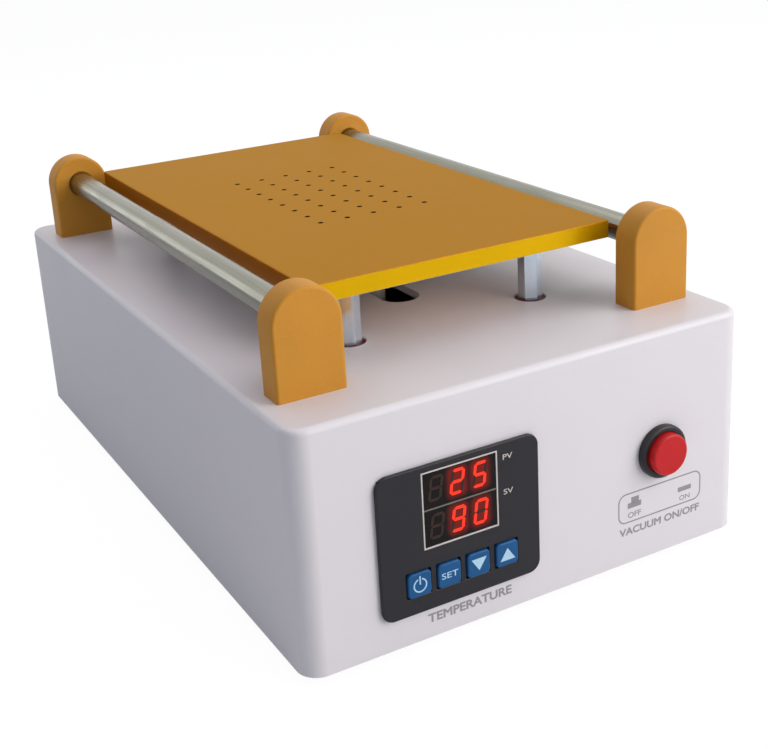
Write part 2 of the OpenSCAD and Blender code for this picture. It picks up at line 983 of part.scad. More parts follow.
module display_window() {
    color("black")
        translate([bezel_cx, window_y, window_cz])
            rotate([-90, 0, 0])
                linear_extrude(window_t)
                    square([window_open_w, window_open_h], center = true);
}

module key(i) {
    stem_end_y = board_y - key_switch_h + key_stem_in;
    stem_y = key_front_y + key_body_l;
    color("steelblue")
        translate([bezel_cx + (i - (key_count - 1) / 2) * key_pitch, 0, key_cz]) {
            translate([0, key_front_y, 0])
                rotate([-90, 0, 0])
                    linear_extrude(key_body_l)
                        square([key_w, key_h], center = true);
            translate([0, stem_y, 0])
                rotate([-90, 0, 0])
                    linear_extrude(key_lip_t)
                        square([key_w + 2 * key_lip, key_h + 2 * key_lip], center = true);
            translate([0, stem_y, 0])
                y_bar(key_stem_d, stem_end_y - stem_y);
        }
}

module key_switches() {
    color("black")
        for (i = [0 : key_count - 1])
            translate([bezel_cx + (i - (key_count - 1) / 2) * key_pitch, board_y - key_switch_h, key_cz])
                difference() {
                    translate([-key_switch_w / 2, 0, -key_switch_w / 2])
                        cube([key_switch_w, key_switch_h, key_switch_w]);
                    translate([0, -over, 0])
                        y_bar(key_stem_d + 2 * run_fit, key_stem_in + 2 * key_travel + over);
                }
}

module terminal_block() {
    color("seagreen")
        translate([bezel_cx, front_y + housing_l, bezel_cz])
            difference() {
                translate([-terminal_w / 2, 0, -terminal_h / 2])
                    cube([terminal_w, terminal_d, terminal_h]);
                for (i = [0 : terminal_ways - 1])
                    translate([(i - (terminal_ways - 1) / 2) * terminal_pitch, terminal_hole_y, 0])
                        y_bar(terminal_screw_d, terminal_screw_d + over);
            }
}

// Suction switch

module suction_switch_body() {
    color("dimgray")
        translate([button_x, 0, button_cz])
            difference() {
                union() {
                    translate([0, front_y - barrel_flange_t, 0])
                        y_bar(barrel_flange_d, barrel_flange_t);
                    translate([0, front_y - over, 0])
                        y_bar(barrel_d, barrel_l + over);
                    translate([-switch_w / 2, barrel_end_y, -switch_w / 2])
                        cube([switch_w, switch_l, switch_w]);
                }
                translate([0, button_front_y, 0]) {
                    y_bar(button_d + 2 * run_fit, button_l + button_travel + over);
                    y_bar(button_stem_d + 2 * run_fit, button_l + button_stem_l + button_travel + over);
                }
            }
}

module suction_switch_nut() {
    color("silver")
        translate([button_x, front_y + case_wall, button_cz])
            difference() {
                rotate([-90, 0, 0])
                    hex_bar(switch_nut_af, switch_nut_t);
                translate([0, -over, 0])
                    y_bar(barrel_d + slip, switch_nut_t + 2 * over);
            }
}

module suction_button() {
    color("crimson")
        translate([button_x, button_front_y, button_cz]) {
            y_bar(button_d, button_l);
            translate([0, button_l - over, 0])
                y_bar(button_stem_d, button_stem_l + over);
        }
}

// Inlet socket

// Outline of the inlet's opening, with its two cut corners at the top
module inlet_plan(grow) {
    w = inlet_open_w / 2 + grow;
    h = inlet_open_h / 2 + grow;
    polygon([[-w, -h], [w, -h], [w, h - inlet_chamfer], [w - inlet_chamfer, h], [inlet_chamfer - w, h],
        [-w, h - inlet_chamfer]]);
}

module inlet_socket() {
    color("black")
        translate([inlet_x, 0, inlet_cz])
            difference() {
                union() {
                    translate([0, rear_y + inlet_flange_t, 0])
                        rotate([90, 0, 0])
                            linear_extrude(inlet_flange_t)
                                round_plan(inlet_flange_w, inlet_flange_h, inlet_wall);
                    translate([0, rear_y + over, 0])
                        rotate([90, 0, 0])
                            linear_extrude(inlet_depth + inlet_wall - inlet_flange_t + over)
                                inlet_plan(inlet_wall);
                }
                translate([0, rear_y + inlet_flange_t + over, 0])
                    rotate([90, 0, 0])
                        linear_extrude(inlet_depth + over)
                            inlet_plan(0);
                for (s = [-1, 1])
                    translate([s * inlet_screw_x, rear_y - over, 0])
                        y_bar(screw_hole_d, inlet_flange_t + 2 * over);
                for (p = [[-pin_x, -pin_rise], [pin_x, -pin_rise], [0, pin_rise]])
                    translate([p[0], rear_y + inlet_flange_t - inlet_depth + over, p[1]])
                        rotate([90, 0, 0])
                            linear_extrude(inlet_wall + 2 * over)
                                square([pin_w + slip, pin_h + slip], center = true);
            }
}

module inlet_pins() {
    color("gold")
        translate([inlet_x, rear_y + inlet_flange_t - inlet_depth + pin_l, inlet_cz])
            for (p = [[-pin_x, -pin_rise], [pin_x, -pin_rise], [0, pin_rise]])
                translate([p[0], 0, p[1]])
                    rotate([90, 0, 0])
                        linear_extrude(pin_l + inlet_wall + pin_tail)
                            square([pin_w, pin_h], center = true);
}

module inlet_screws() {
    grip = inlet_flange_t + case_wall;
    color("silver")
        for (s = [-1, 1])
            translate([inlet_x + s * inlet_screw_x, 0, inlet_cz]) {
                translate([0, rear_y + inlet_flange_t, 0])
                    rotate([90, 0, 0])
                        screw_up(screw_d, grip + nut_h + slip, screw_head_d, screw_head_h / 2);
                translate([0, rear_y - case_wall, 0])
                    rotate([90, 0, 0])
                        difference() {
                            hex_bar(nut_af, nut_h);
                            translate([0, 0, -over])
                                cylinder(h = nut_h + 2 * over, d = screw_d + 2 * slip);
                        }
            }
}

// Rocker switch

module rocker_housing() {
    color("black")
        translate([rocker_x, 0, rocker_cz])
            difference() {
                union() {
                    translate([0, rear_y + rocker_flange_t, 0])
                        rotate([90, 0, 0])
                            linear_extrude(rocker_flange_t)
                                round_plan(rocker_flange_w, rocker_flange_h, rocker_wall);
                    translate([-rocker_body_w / 2, rear_y - rocker_body_l, -rocker_body_h / 2])
                        cube([rocker_body_w, rocker_body_l + over, rocker_body_h]);
                }
                translate([0, rocker_axis_y, 0]) {
                    cube([rocker_room_w, 2 * rocker_room, 2 * rocker_r + 4 * slip], center = true);
                    rotate([0, 90, 0])
                        cylinder(h = rocker_pin_l + 2 * slip, d = rocker_pin_d + 2 * run_fit, center = true);
                }
            }
}

module power_rocker() {
    reach = rocker_r * 1.2;
    lift = rocker_rise + reach * tan(rocker_tilt);
    color("black")
        translate([rocker_x, rocker_axis_y, rocker_cz])
            rotate([rocker_tilt, 0, 0]) {
                intersection() {
                    rotate([0, 90, 0])
                        cylinder(h = rocker_w, r = rocker_r, center = true);
                    translate([-rocker_w / 2, 0, 0])
                        rotate([90, 0, 90])
                            linear_extrude(rocker_w)
                                polygon([[-rocker_under, -reach], [lift, -reach],
                                    [rocker_rise, 0], [lift, reach], [-rocker_under, reach]]);
                }
                rotate([0, 90, 0])
                    cylinder(h = rocker_pin_l, d = rocker_pin_d, center = true);
            }
}

// Pump

module pump_head() {
    color("black")
        translate([pump_x, pump_front_y, pump_axis_z])
            difference() {
                union() {
                    translate([-head_w / 2, 0, -head_w / 2])
                        cube([head_w, head_h, head_w]);
                    for (s = [-1, 1])
                        translate([0, -port_l, s * port_z])
                            y_bar(barb_d, port_l + over);
                }
                for (s = [-1, 1])
                    translate([0, -port_l - over, s * port_z])
                        y_bar(nozzle_bore, port_l + head_h / 2 + over);
            }
}

module pump_crankcase() {
    color("dimgray")
        translate([pump_x, pump_front_y + head_h, pump_axis_z])
            difference() {
                y_bar(head_w, crank_l);
                translate([0, crank_wall, 0])
                    y_bar(head_w - 2 * crank_wall, crank_l);
            }
}

module pump_motor() {
    color("lightgray")
        translate([pump_x, motor_y, pump_axis_z])
            difference() {
                union() {
                    y_bar(motor_d, motor_l);
                    translate([0, motor_l - over, 0])
                        y_bar(boss_d, boss_l + over);
                }
                translate([0, bearing_wall, 0])
                    y_bar(motor_d - 2 * motor_wall, motor_l - 2 * bearing_wall);
                translate([0, -over, 0])
                    y_bar(shaft_d + 2 * run_fit, motor_l + boss_l + 2 * over);
            }
}

module pump_rotor() {
    shaft_front = crank_l - crank_wall - eccentric_gap;
    color("peru")
        translate([pump_x, motor_y, pump_axis_z]) {
            translate([0, -shaft_front, 0])
                y_bar(shaft_d, shaft_front + motor_l + boss_l);
            translate([0, (motor_l - armature_l) / 2, 0])
                y_bar(armature_d, armature_l);
            translate([eccentric_off, -shaft_front, 0])
                y_bar(eccentric_d, eccentric_l);
        }
}

module pump_cradle() {
    y0 = motor_y + (motor_l - strap_l) / 2;
    color("whitesmoke")
        difference() {
            union() {
                translate([pump_x - cradle_w / 2, y0, floor_z])
                    cube([cradle_w, strap_l, cradle_ear_t]);
                translate([pump_x - motor_d / 2 - strap_t, y0, floor_z])
                    cube([motor_d + 2 * strap_t, strap_l, pump_axis_z - floor_z]);
                translate([pump_x, y0, pump_axis_z])
                    y_bar(motor_d + 2 * strap_t, strap_l);
            }
            translate([pump_x, y0 - over, pump_axis_z])
                y_bar(motor_d + slip, strap_l + 2 * over);
            cradle_ears()
                translate([0, 0, floor_z - over])
                    cylinder(h = cradle_ear_t + 2 * over, d = screw_hole_d);
        }
}

// Power supply

module supply_board() {
    color("darkgreen")
        difference() {
            translate([supply_x - supply_w / 2, supply_y - supply_d / 2, supply_z])
                cube([supply_w, supply_d, board_t]);
            supply_pillars()
                translate([0, 0, supply_z - over])
                    cylinder(h = board_t + 2 * over, d = screw_hole_d);
        }
}

module supply_transformer() {
    color("gold")
        translate([supply_x - transformer_w / 2, supply_y - transformer_d / 2, supply_z + board_t])
            cube([transformer_w, transformer_d, transformer_h]);
}

module supply_capacitors() {
    color("navy")
        for (s = [-1, 1])
            translate([supply_x, supply_y + s * capacitor_y, supply_z + board_t])
                cylinder(h = capacitor_h, d = capacitor_d);
}

module fixing_screws() {
    color("silver") {
        supply_pillars()
            translate([0, 0, supply_z + board_t])
                screw_down(screw_d, board_t + pillar_h - over, screw_head_d, screw_head_h);
        cradle_ears()
            translate([0, 0, floor_z + cradle_ear_t])
                screw_down(screw_d, cradle_ear_t + base_t, screw_head_d, screw_head_h);
    }
}

// Leads from the inlet to the rocker, from both to the supply board, and from the board to the pump
module power_leads() {
    pin_end_y = rear_y + inlet_flange_t - inlet_depth - inlet_wall - pin_tail;
    rocker_end_y = rear_y - rocker_body_l;
    board_end_y = supply_y + supply_d / 2 - supply_hole_in;
    board_top_z = supply_z + board_t;
    output_x = supply_x + supply_w / 2 - 2 * lead_gap;
    color("black") {
        wire([[inlet_x - pin_x, pin_end_y, inlet_cz - pin_rise],
            [inlet_x - pin_x, pin_end_y - lead_gap, inlet_cz - pin_rise],
            [rocker_x + lead_gap, pin_end_y - lead_gap, inlet_cz - pin_rise],
            [rocker_x + lead_gap, rocker_end_y, inlet_cz - pin_rise]], lead_d);
        wire([[rocker_x - lead_gap, rocker_end_y, rocker_cz],
            [rocker_x - lead_gap, rocker_end_y - 2 * lead_gap, rocker_cz],
            [supply_x + lead_gap, rocker_end_y - 2 * lead_gap, rocker_cz],
            [supply_x + lead_gap, board_end_y, rocker_cz],
            [supply_x + lead_gap, board_end_y, board_top_z]], lead_d);
        wire([[inlet_x + pin_x, pin_end_y, inlet_cz - pin_rise],
            [inlet_x + pin_x, pin_end_y - 3 * lead_gap, inlet_cz - pin_rise],
            [inlet_x + pin_x, pin_end_y - 3 * lead_gap, rocker_cz + 4 * lead_gap],
            [supply_x - lead_gap, pin_end_y - 3 * lead_gap, rocker_cz + 4 * lead_gap],
            [supply_x - lead_gap, board_end_y, rocker_cz + 4 * lead_gap],
            [supply_x - lead_gap, board_end_y, board_top_z]], lead_d);
        for (s = [-1, 1])
            wire([[pump_x + s * lead_gap * 2, motor_y + motor_l, pump_axis_z],
                [pump_x + s * lead_gap * 2, motor_y + motor_l + lead_gap * (2 + s), pump_axis_z],
                [output_x - s * lead_d, motor_y + motor_l + lead_gap * (2 + s), pump_axis_z],
                [output_x - s * lead_d, supply_y - 3 * lead_gap * s, pump_axis_z],
                [output_x - s * lead_d, supply_y - 3 * lead_gap * s, board_top_z]], lead_d);
    }
}

case_shell();
base_plate();
base_screws();
foot(-1, -1);  // foot_front_left
foot(1, -1);  // foot_front_right
foot(-1, 1);  // foot_rear_left
foot(1, 1);  // foot_rear_right
foot_screws();
deck_plate(-1);  // deck_plate_front
deck_plate(1);  // deck_plate_rear
bracket(-1, -1);  // bracket_front_left
bracket(1, -1);  // bracket_front_right
bracket(-1, 1);  // bracket_rear_left
bracket(1, 1);  // bracket_rear_right
bracket_screws();
guide_rod(-1);  // guide_rod_left
guide_rod(1);  // guide_rod_right
posts();
post_washers();
post_screws();
heating_plate();
suction_gasket();
suction_cover();
plate_screws();
suction_nozzle();
heater_pad();
heat_shield();
temperature_sensor();
thermal_cutout();
vacuum_hose();
plate_leads();
controller_bezel();
controller_housing();
controller_board();
display_modules();
display_window();
key(0);  // key_power
key(1);  // key_set
key(2);  // key_down
key(3);  // key_up
key_switches();
terminal_block();
suction_switch_body();
suction_switch_nut();
suction_button();
inlet_socket();
inlet_pins();
inlet_screws();
rocker_housing();
power_rocker();
pump_motor();
pump_crankcase();
pump_head();
pump_rotor();
pump_cradle();
supply_board();
supply_transformer();
supply_capacitors();
fixing_screws();
power_leads();
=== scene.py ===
import json
import math

import bmesh
import bpy
from bpy.props import FloatProperty, FloatVectorProperty, IntProperty, PointerProperty
from bpy.types import Operator, Panel, PropertyGroup
from mathutils import Matrix, Vector


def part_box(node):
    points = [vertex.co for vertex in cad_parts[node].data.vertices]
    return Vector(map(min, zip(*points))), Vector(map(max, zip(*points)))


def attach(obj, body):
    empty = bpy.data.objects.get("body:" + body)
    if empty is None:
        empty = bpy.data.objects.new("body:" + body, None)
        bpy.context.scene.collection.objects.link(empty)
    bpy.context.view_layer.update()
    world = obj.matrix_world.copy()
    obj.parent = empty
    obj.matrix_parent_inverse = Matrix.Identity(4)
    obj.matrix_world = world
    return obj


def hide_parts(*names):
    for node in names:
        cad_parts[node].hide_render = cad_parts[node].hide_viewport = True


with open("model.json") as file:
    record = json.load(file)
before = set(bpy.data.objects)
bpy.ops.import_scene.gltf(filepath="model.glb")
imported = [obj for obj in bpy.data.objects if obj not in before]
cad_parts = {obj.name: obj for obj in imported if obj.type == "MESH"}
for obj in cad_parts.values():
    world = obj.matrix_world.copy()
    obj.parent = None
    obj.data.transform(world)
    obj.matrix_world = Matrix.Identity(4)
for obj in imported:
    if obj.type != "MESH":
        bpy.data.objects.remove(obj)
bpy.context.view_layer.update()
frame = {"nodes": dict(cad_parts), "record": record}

bl_info = {
    "name": "Vacuum screen separator",
    "version": (1, 0, 0),
    "blender": (4, 5, 0),
    "location": "View3D > Sidebar > Separator",
    "description": "Dresses the frame of a vacuum screen separator with its finished pieces",
    "category": "Object",
}

MM = 0.001
TURNS = {"X": (0, math.pi / 2, 0), "Y": (-math.pi / 2, 0, 0), "Z": (0, 0, 0)}

# Millimetres within which two places are the same, and the share of a normal that lies along its axis
SAME, STRAIGHT = 1e-3, 0.99
# Millimetres that a cutter reaches past its piece, with and without room to spare
PAST, NEAR = 5.0, 1.0
# Millimetres that a solid reaches into the one it is joined with, where the seam shows and where it doesn't
SEAM, LAP = 0.01, 0.1
# Share of a half width that rounds a side fully without closing on itself
FULL_ROUND = 0.9999


def tint(red, green, blue):
    """Scene colour of a screen colour given from 0 to 255."""
    return tuple(c / 12.92 if c <= 0.04045 else ((c + 0.055) / 1.055) ** 2.4
                 for c in (red / 255, green / 255, blue / 255))


def length(name, description, millimetres):
    """A size that a user would change, in Blender's length unit."""
    return FloatProperty(name=name, description=description, default=millimetres * MM,
                         min=0, unit="LENGTH", precision=5)


def colour(name, description, red, green, blue):
    """A colour that a user would change."""
    return FloatVectorProperty(name=name, description=description, default=tint(red, green, blue),
                               size=3, min=0, max=1, subtype="COLOR")


# Sizes and colours

class SeparatorSizes(PropertyGroup):
    """Small sizes that the finished pieces add to the frame"""
    case_corner: length("Case corner", "Radius of the upright corners of the case", 6)
    case_edge: length("Case edge", "Radius of the edge round the top of the case", 1.8)
    case_wall: length("Case wall", "Thickness of the case wall", 2.4)
    rim: length("Rim", "Rounding of the holes cut in the case", 0.25)
    post_hole: length("Post hole", "Diameter of the holes round the posts", 9.4)
    post_flats: length("Post flats", "Width across the flats of a post", 6)
    post_chamfer: length("Post chamfer", "Turned chamfer at the ends of a post", 0.5)
    bracket_fillet: length("Bracket fillet", "Rounding of the long edges of a rod bracket", 0.8)
    socket: length("Rod socket", "Diameter of the blind sockets in the brackets", 8.1)
    socket_depth: length("Socket depth", "Depth of the blind sockets in the brackets", 6)
    rod_chamfer: length("Rod chamfer", "Chamfer at the ends of a guide rod", 0.4)
    plate_edge: length("Plate edge", "Chamfer round the heating plate", 0.3)
    hole: length("Suction hole", "Diameter of a suction hole", 1.5)
    hole_edge: length("Hole edge", "Countersink of a suction hole", 0.14)
    hole_pitch: length("Hole pitch", "Distance between suction holes", 8.9)
    bezel_corner: length("Bezel corner", "Radius of the corners of the controller bezel", 3.4)
    key_lip: length("Key lip", "How far a key reaches behind the bezel", 0.6)
    key_round: length("Key rounding", "Rounding of the upright corners of a key", 1.2)
    key_edge: length("Key edge", "Rounding of the front edge of a key", 0.5)
    line: length("Outline", "Width of the line round the display", 0.42)
    ring: length("Switch ring", "Diameter of the ring of the suction switch", 15.5)
    cap_edge: length("Cap edge", "Rounding of the front edge of the red cap", 0.7)
    print_height: length("Print height", "Thickness of the printing on the front", 0.03)
    digit_width: length("Digit width", "Width of a display digit", 4.0)
    digit_height: length("Digit height", "Height of a display digit", 7.0)
    digit_bar: length("Digit bar", "Width of one bar of a digit", 0.82)
    digit_slant: FloatProperty(name="Digit slant", description="Lean of the display digits",
                               default=math.radians(8), subtype="ANGLE")
    round_steps: IntProperty(name="Round steps", description="Sides of a full circle", default=64, min=16)


class SeparatorColours(PropertyGroup):
    """Colours of the parts that show"""
    case: colour("Case", "Paint of the case", 226, 223, 228)
    bracket: colour("Brackets", "Moulded plastic of the rod brackets", 206, 143, 46)
    plate: colour("Plate", "Anodised top of the heating plate", 172, 122, 30)
    plate_side: colour("Plate sides", "Anodised sides of the heating plate", 222, 176, 8)
    # Painted shade: the long sides get a darker copy of the anodised side colour, for the shade that falls on
    # them
    plate_flank_shade: colour("Plate flanks", "Anodised long sides of the heating plate", 190, 112, 8)
    # Painted shade: the walls and countersinks of the suction holes are dark for the shade inside them
    hole: colour("Suction holes", "Walls of the suction holes", 58, 38, 14)
    rod: colour("Rods", "Galvanised steel of the guide rods", 152, 151, 138)
    post: colour("Posts", "Zinc of the posts", 222, 237, 250)
    # Partly the washers' own red fibre, partly painted shade: darkened for the shade in the post holes
    washer: colour("Washers", "Red fibre of the washers", 104, 28, 34)
    panel: colour("Panel", "Front of the controller", 38, 37, 42)
    window: colour("Window", "Display window", 12, 7, 7)
    key: colour("Keys", "Keys of the controller", 20, 86, 141)
    mark: colour("Key marks", "Marks on the keys", 178, 216, 238)
    lit: colour("Lit bars", "Lit bars of the digits", 255, 58, 38)
    unlit: colour("Unlit bars", "Unlit bars of the digits", 52, 37, 31)
    button: colour("Button", "Cap of the suction button", 196, 18, 22)
    switch: colour("Switch ring", "Ring of the suction switch", 44, 42, 46)
    printing: colour("Printing", "Printing on the case", 148, 147, 150)
    outline: colour("Outline", "Line round the display and the marks beside it", 205, 200, 196)
    divider: colour("Divider", "Bar between the two rows of digits", 112, 104, 98)


def sizes():
    return bpy.context.scene.separator_sizes


def colours():
    return bpy.context.scene.separator_colours


# Places in the frame, in millimetres

def span(node_name):
    """Lowest and highest corner of a node of the frame."""
    return [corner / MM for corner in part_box(node_name)]


def middle(node_name):
    low, high = span(node_name)
    return (low + high) / 2


def post_places():
    """Middles of the four posts."""
    low, high = span("posts")
    flat = sizes().post_flats / MM / 2
    corner = flat / math.cos(math.pi / 6)
    return [(x, y) for x in (low.x + flat, high.x - flat) for y in (low.y + corner, high.y - corner)]


# Modelling by hand

def release():
    """Leave edit mode and let go of every object."""
    if bpy.context.mode != "OBJECT":
        bpy.ops.object.mode_set(mode="OBJECT")
    bpy.ops.object.select_all(action="DESELECT")


def hold(*pieces):
    """Select these pieces alone, the first one active."""
    release()
    for piece in pieces:
        piece.select_set(True)
    bpy.context.view_layer.objects.active = pieces[0]


def discard(*pieces):
    """Remove pieces that were only copied from or cut with."""
    for piece in pieces:
        bpy.data.objects.remove(piece)


def named(name):
    """Name the active object and its mesh."""
    piece = bpy.context.object
    piece.name = name
    piece.data.name = name
    return piece


def placed(name):
    """Name the new object and put its place into its mesh."""
    piece = named(name)
    bpy.ops.object.transform_apply(location=True, rotation=True, scale=True)
    return piece


def block(name, low, high):
    """Block between two corners in millimetres."""
    release()
    low, high = Vector(low) * MM, Vector(high) * MM
    bpy.ops.mesh.primitive_cube_add(size=1, location=(low + high) / 2)
    bpy.context.object.scale = high - low
    return placed(name)


def drum(name, axis, across, radius, low, high, sides=None, tip=None):
    """Cylinder along an axis between two heights in millimetres, or a cone with its own tip radius."""
    release()
    at = list(across)
    at.insert("XYZ".index(axis), (low + high) / 2)
    bpy.ops.mesh.primitive_cone_add(vertices=sides or sizes().round_steps, radius1=radius * MM,
                                    radius2=(radius if tip is None else tip) * MM,
                                    depth=(high - low) * MM, location=Vector(at) * MM,
                                    rotation=TURNS[axis])
    return placed(name)


def pick(piece, kind, test):
    """Go into edit mode with only the vertices, edges or faces selected that pass the test."""
    hold(piece)
    bpy.ops.object.mode_set(mode="EDIT")
    bpy.ops.mesh.select_mode(type=kind)
    bpy.ops.mesh.select_all(action="DESELECT")
    grid = bmesh.from_edit_mesh(piece.data)
    parts = {"VERT": grid.verts, "EDGE": grid.edges, "FACE": grid.faces}[kind]
    found = [part for part in parts if test(part)]
    if not found:
        raise RuntimeError(f"nothing to shape on {piece.name}")
    for part in found:
        part.select_set(True)
    grid.select_flush_mode()
    bmesh.update_edit_mesh(piece.data)


def ends(edge):
    return edge.verts[0].co / MM, edge.verts[1].co / MM


def along(axis):
    """Test for edges that run along an axis."""
    others = [i for i in range(3) if i != "XYZ".index(axis)]

    def test(edge):
        a, b = ends(edge)
        return all(abs(a[i] - b[i]) < SAME for i in others)
    return test


def lying_at(axis, *places):
    """Test for edges that lie across an axis, at one of these places along it."""
    i = "XYZ".index(axis)
    return lambda edge: any(all(abs(p[i] - place) < SAME for p in ends(edge)) for place in places)


def facing(axis, sign, place):
    """Test for faces that look along an axis, at this place along it."""
    i = "XYZ".index(axis)

    def test(face):
        return face.normal[i] * sign > STRAIGHT and abs(face.calc_center_median()[i] / MM - place) < SAME
    return test


def bevel(piece, test, width, steps):
    """Round the edges that pass the test."""
    pick(piece, "EDGE", test)
    bpy.ops.mesh.bevel(offset=width, offset_type="OFFSET", segments=steps, profile=0.5, affect="EDGES",
                       clamp_overlap=True)
    release()
    return piece


def welded(piece, gap):
    """Close seams up to this gap and point all faces outwards."""
    hold(piece)
    bpy.ops.object.mode_set(mode="EDIT")
    bpy.ops.mesh.select_all(action="SELECT")
    bpy.ops.mesh.remove_doubles(threshold=gap)
    bpy.ops.mesh.normals_make_consistent(inside=False)
    release()
    return piece


def modified(piece, kind, **values):
    """Add a modifier and apply it."""
    hold(piece)
    modifier = piece.modifiers.new(kind.title(), kind)
    for key, value in values.items():
        setattr(modifier, key, value)
    bpy.ops.object.modifier_apply(modifier=modifier.name)
    return piece


def joined(name, pieces):
    """Make one object of several."""
    hold(*pieces)
    if len(pieces) > 1:
        bpy.ops.object.join()
    return named(name)


def cut(piece, cutters, operation="DIFFERENCE"):
    """Cut a piece with others, which are used up."""
    cutter = joined("cutter", cutters)
    modified(piece, "BOOLEAN", operation=operation, object=cutter, solver="EXACT")
    discard(cutter)
    return piece


def softened(piece, width, steps, angle=40):
    """Break the edges of a piece that are sharper than an angle in degrees."""
    return modified(piece, "BEVEL", width=width, segments=steps, limit_method="ANGLE",
                    angle_limit=math.radians(angle), harden_normals=False)


def copied(piece, name, move, turn=(0, 0, 0)):
    """Copy a piece with a mesh of its own, turned about the origin and then moved in millimetres."""
    hold(piece)
    bpy.ops.object.duplicate(linked=False)
    copy = bpy.context.object
    copy.location = Vector(move) * MM
    copy.rotation_euler = turn
    return placed(name)


def finish_of(name):
    return bpy.data.materials[name + "_finish"]


def finished(piece, body, slot, nodes=(), angle=35, finishes=None):
    """Smooth a piece, give it its slot's finish or its own, and set it on its body in place of its nodes."""
    hold(piece)
    bpy.ops.object.shade_smooth_by_angle(angle=math.radians(angle))
    modified(piece, "WEIGHTED_NORMAL", keep_sharp=True, weight=80)
    for finish in finishes or [slot]:
        piece.data.materials.append(finish_of(finish))
    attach(piece, body)
    if nodes:
        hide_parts(*nodes)
    release()
    return piece


def painted(piece, finish, test):
    """Give the faces that pass the test another of the piece's finishes."""
    index = piece.data.materials.find(finish_of(finish).name)
    for face in piece.data.polygons:
        if test(face):
            face.material_index = index


def lettering(name, words, left, right, low, high, front, bold):
    """Raised lettering that fills a place on a face that looks forwards."""
    release()
    bpy.ops.object.text_add()
    text = bpy.context.object
    text.data.body = words
    text.data.size = 1
    text.data.extrude = 0.5
    text.data.bevel_depth = bold
    text.data.resolution_u = 6
    bpy.ops.object.convert(target="MESH")
    text = bpy.context.object
    corners = [Vector(c) for c in text.bound_box]
    start = Vector([min(c[i] for c in corners) for i in range(3)])
    extent = Vector([max(c[i] for c in corners) for i in range(3)]) - start
    wanted = ((right - left) * MM, (high - low) * MM, sizes().print_height)
    grow = [new / old for new, old in zip(wanted, extent)]
    text.data.transform(Matrix.Diagonal((*grow, 1)) @ Matrix.Translation(-start))
    text.rotation_euler = (math.pi / 2, 0, 0)
    text.location = (left * MM, front * MM, low * MM)
    return placed(name)


# Finishes

def effect(name, inputs, outputs, build):
    """Shader node group with named inputs and outputs."""
    group = bpy.data.node_groups.new(name, "ShaderNodeTree")
    for kind, label, default in inputs:
        socket = group.interface.new_socket(label, in_out="INPUT", socket_type=f"NodeSocket{kind}")
        socket.default_value = default
    for kind, label in outputs:
        group.interface.new_socket(label, in_out="OUTPUT", socket_type=f"NodeSocket{kind}")
    given = group.nodes.new("NodeGroupInput")
    result = group.nodes.new("NodeGroupOutput")
    given.location, result.location = (-900, 0), (900, 0)
    build(group, given.outputs, result.inputs)


def filled(tree, made, place, links):
    """Put a node in its place, and link or set its inputs."""
    made.location = place
    for key, value in links.items():
        if isinstance(value, bpy.types.NodeSocket):
            tree.links.new(value, made.inputs[key])
        else:
            made.inputs[key].default_value = value
    return made


def node(tree, kind, place, links=None, **values):
    """Add a node, set its values and link its inputs."""
    made = tree.nodes.new("ShaderNode" + kind)
    for key, value in values.items():
        setattr(made, key, value)
    return filled(tree, made, place, links or {})


def placed_group(tree, name, place, links):
    """Place a group with its own values."""
    made = tree.nodes.new("ShaderNodeGroup")
    made.node_tree = bpy.data.node_groups[name]
    return filled(tree, made, place, links).outputs[0]


def build_patches(tree, given, result):
    """Colour that drifts a little over the surface, with a finer fleck."""
    place = node(tree, "TexCoord", (-900, 300)).outputs["Object"]
    broad = node(tree, "TexNoise", (-650, 300), {"Vector": place, "Scale": given["Scale"], "Detail": 3.0})
    fine = node(tree, "TexNoise", (-650, 0), {"Vector": place, "Scale": 2600.0, "Detail": 2.0})
    mixed = node(tree, "Math", (-400, 200), {0: broad.outputs[0], 1: fine.outputs[0]}, operation="ADD")
    level = node(tree, "MapRange", (-200, 200), {0: mixed.outputs[0], 1: 0.75, 2: 1.25, 3: -1.0, 4: 1.0})
    shift = node(tree, "Math", (0, 200), {0: level.outputs[0], 1: given["Shift"]}, operation="MULTIPLY")
    factor = node(tree, "Math", (200, 200), {0: shift.outputs[0], 1: 1.0}, operation="ADD")
    made = node(tree, "VectorMath", (450, 100), {0: given["Color"], 3: factor.outputs[0]}, operation="SCALE")
    tree.links.new(made.outputs[0], result["Color"])


def build_grain(tree, given, result):
    """Height of a moulded, blasted or sprayed surface."""
    place = node(tree, "TexCoord", (-900, 300)).outputs["Object"]
    fine = node(tree, "TexNoise", (-600, 300),
                {"Vector": place, "Scale": given["Scale"], "Detail": 4.0, "Roughness": 0.6})
    slow = node(tree, "TexNoise", (-600, 0), {"Vector": place, "Scale": 90.0, "Detail": 1.0})
    swell = node(tree, "Math", (-300, 0), {0: slow.outputs[0], 1: given["Swell"]}, operation="MULTIPLY")
    total = node(tree, "Math", (0, 200), {0: fine.outputs[0], 1: swell.outputs[0]}, operation="ADD")
    tree.links.new(total.outputs[0], result["Height"])


def build_streaks(tree, given, result):
    """Long marks drawn or milled along the surface; the stretch sets their direction."""
    place = node(tree, "TexCoord", (-900, 300)).outputs["Object"]
    drawn = node(tree, "VectorMath", (-650, 300), {0: place, 1: given["Stretch"]}, operation="MULTIPLY")
    lines = node(tree, "TexNoise", (-400, 300),
                 {"Vector": drawn.outputs[0], "Scale": 1.0, "Detail": 5.0, "Roughness": 0.65})
    level = node(tree, "MapRange", (-150, 300), {0: lines.outputs[0], 1: 0.3, 2: 0.7})
    tree.links.new(level.outputs[0], result["Mask"])


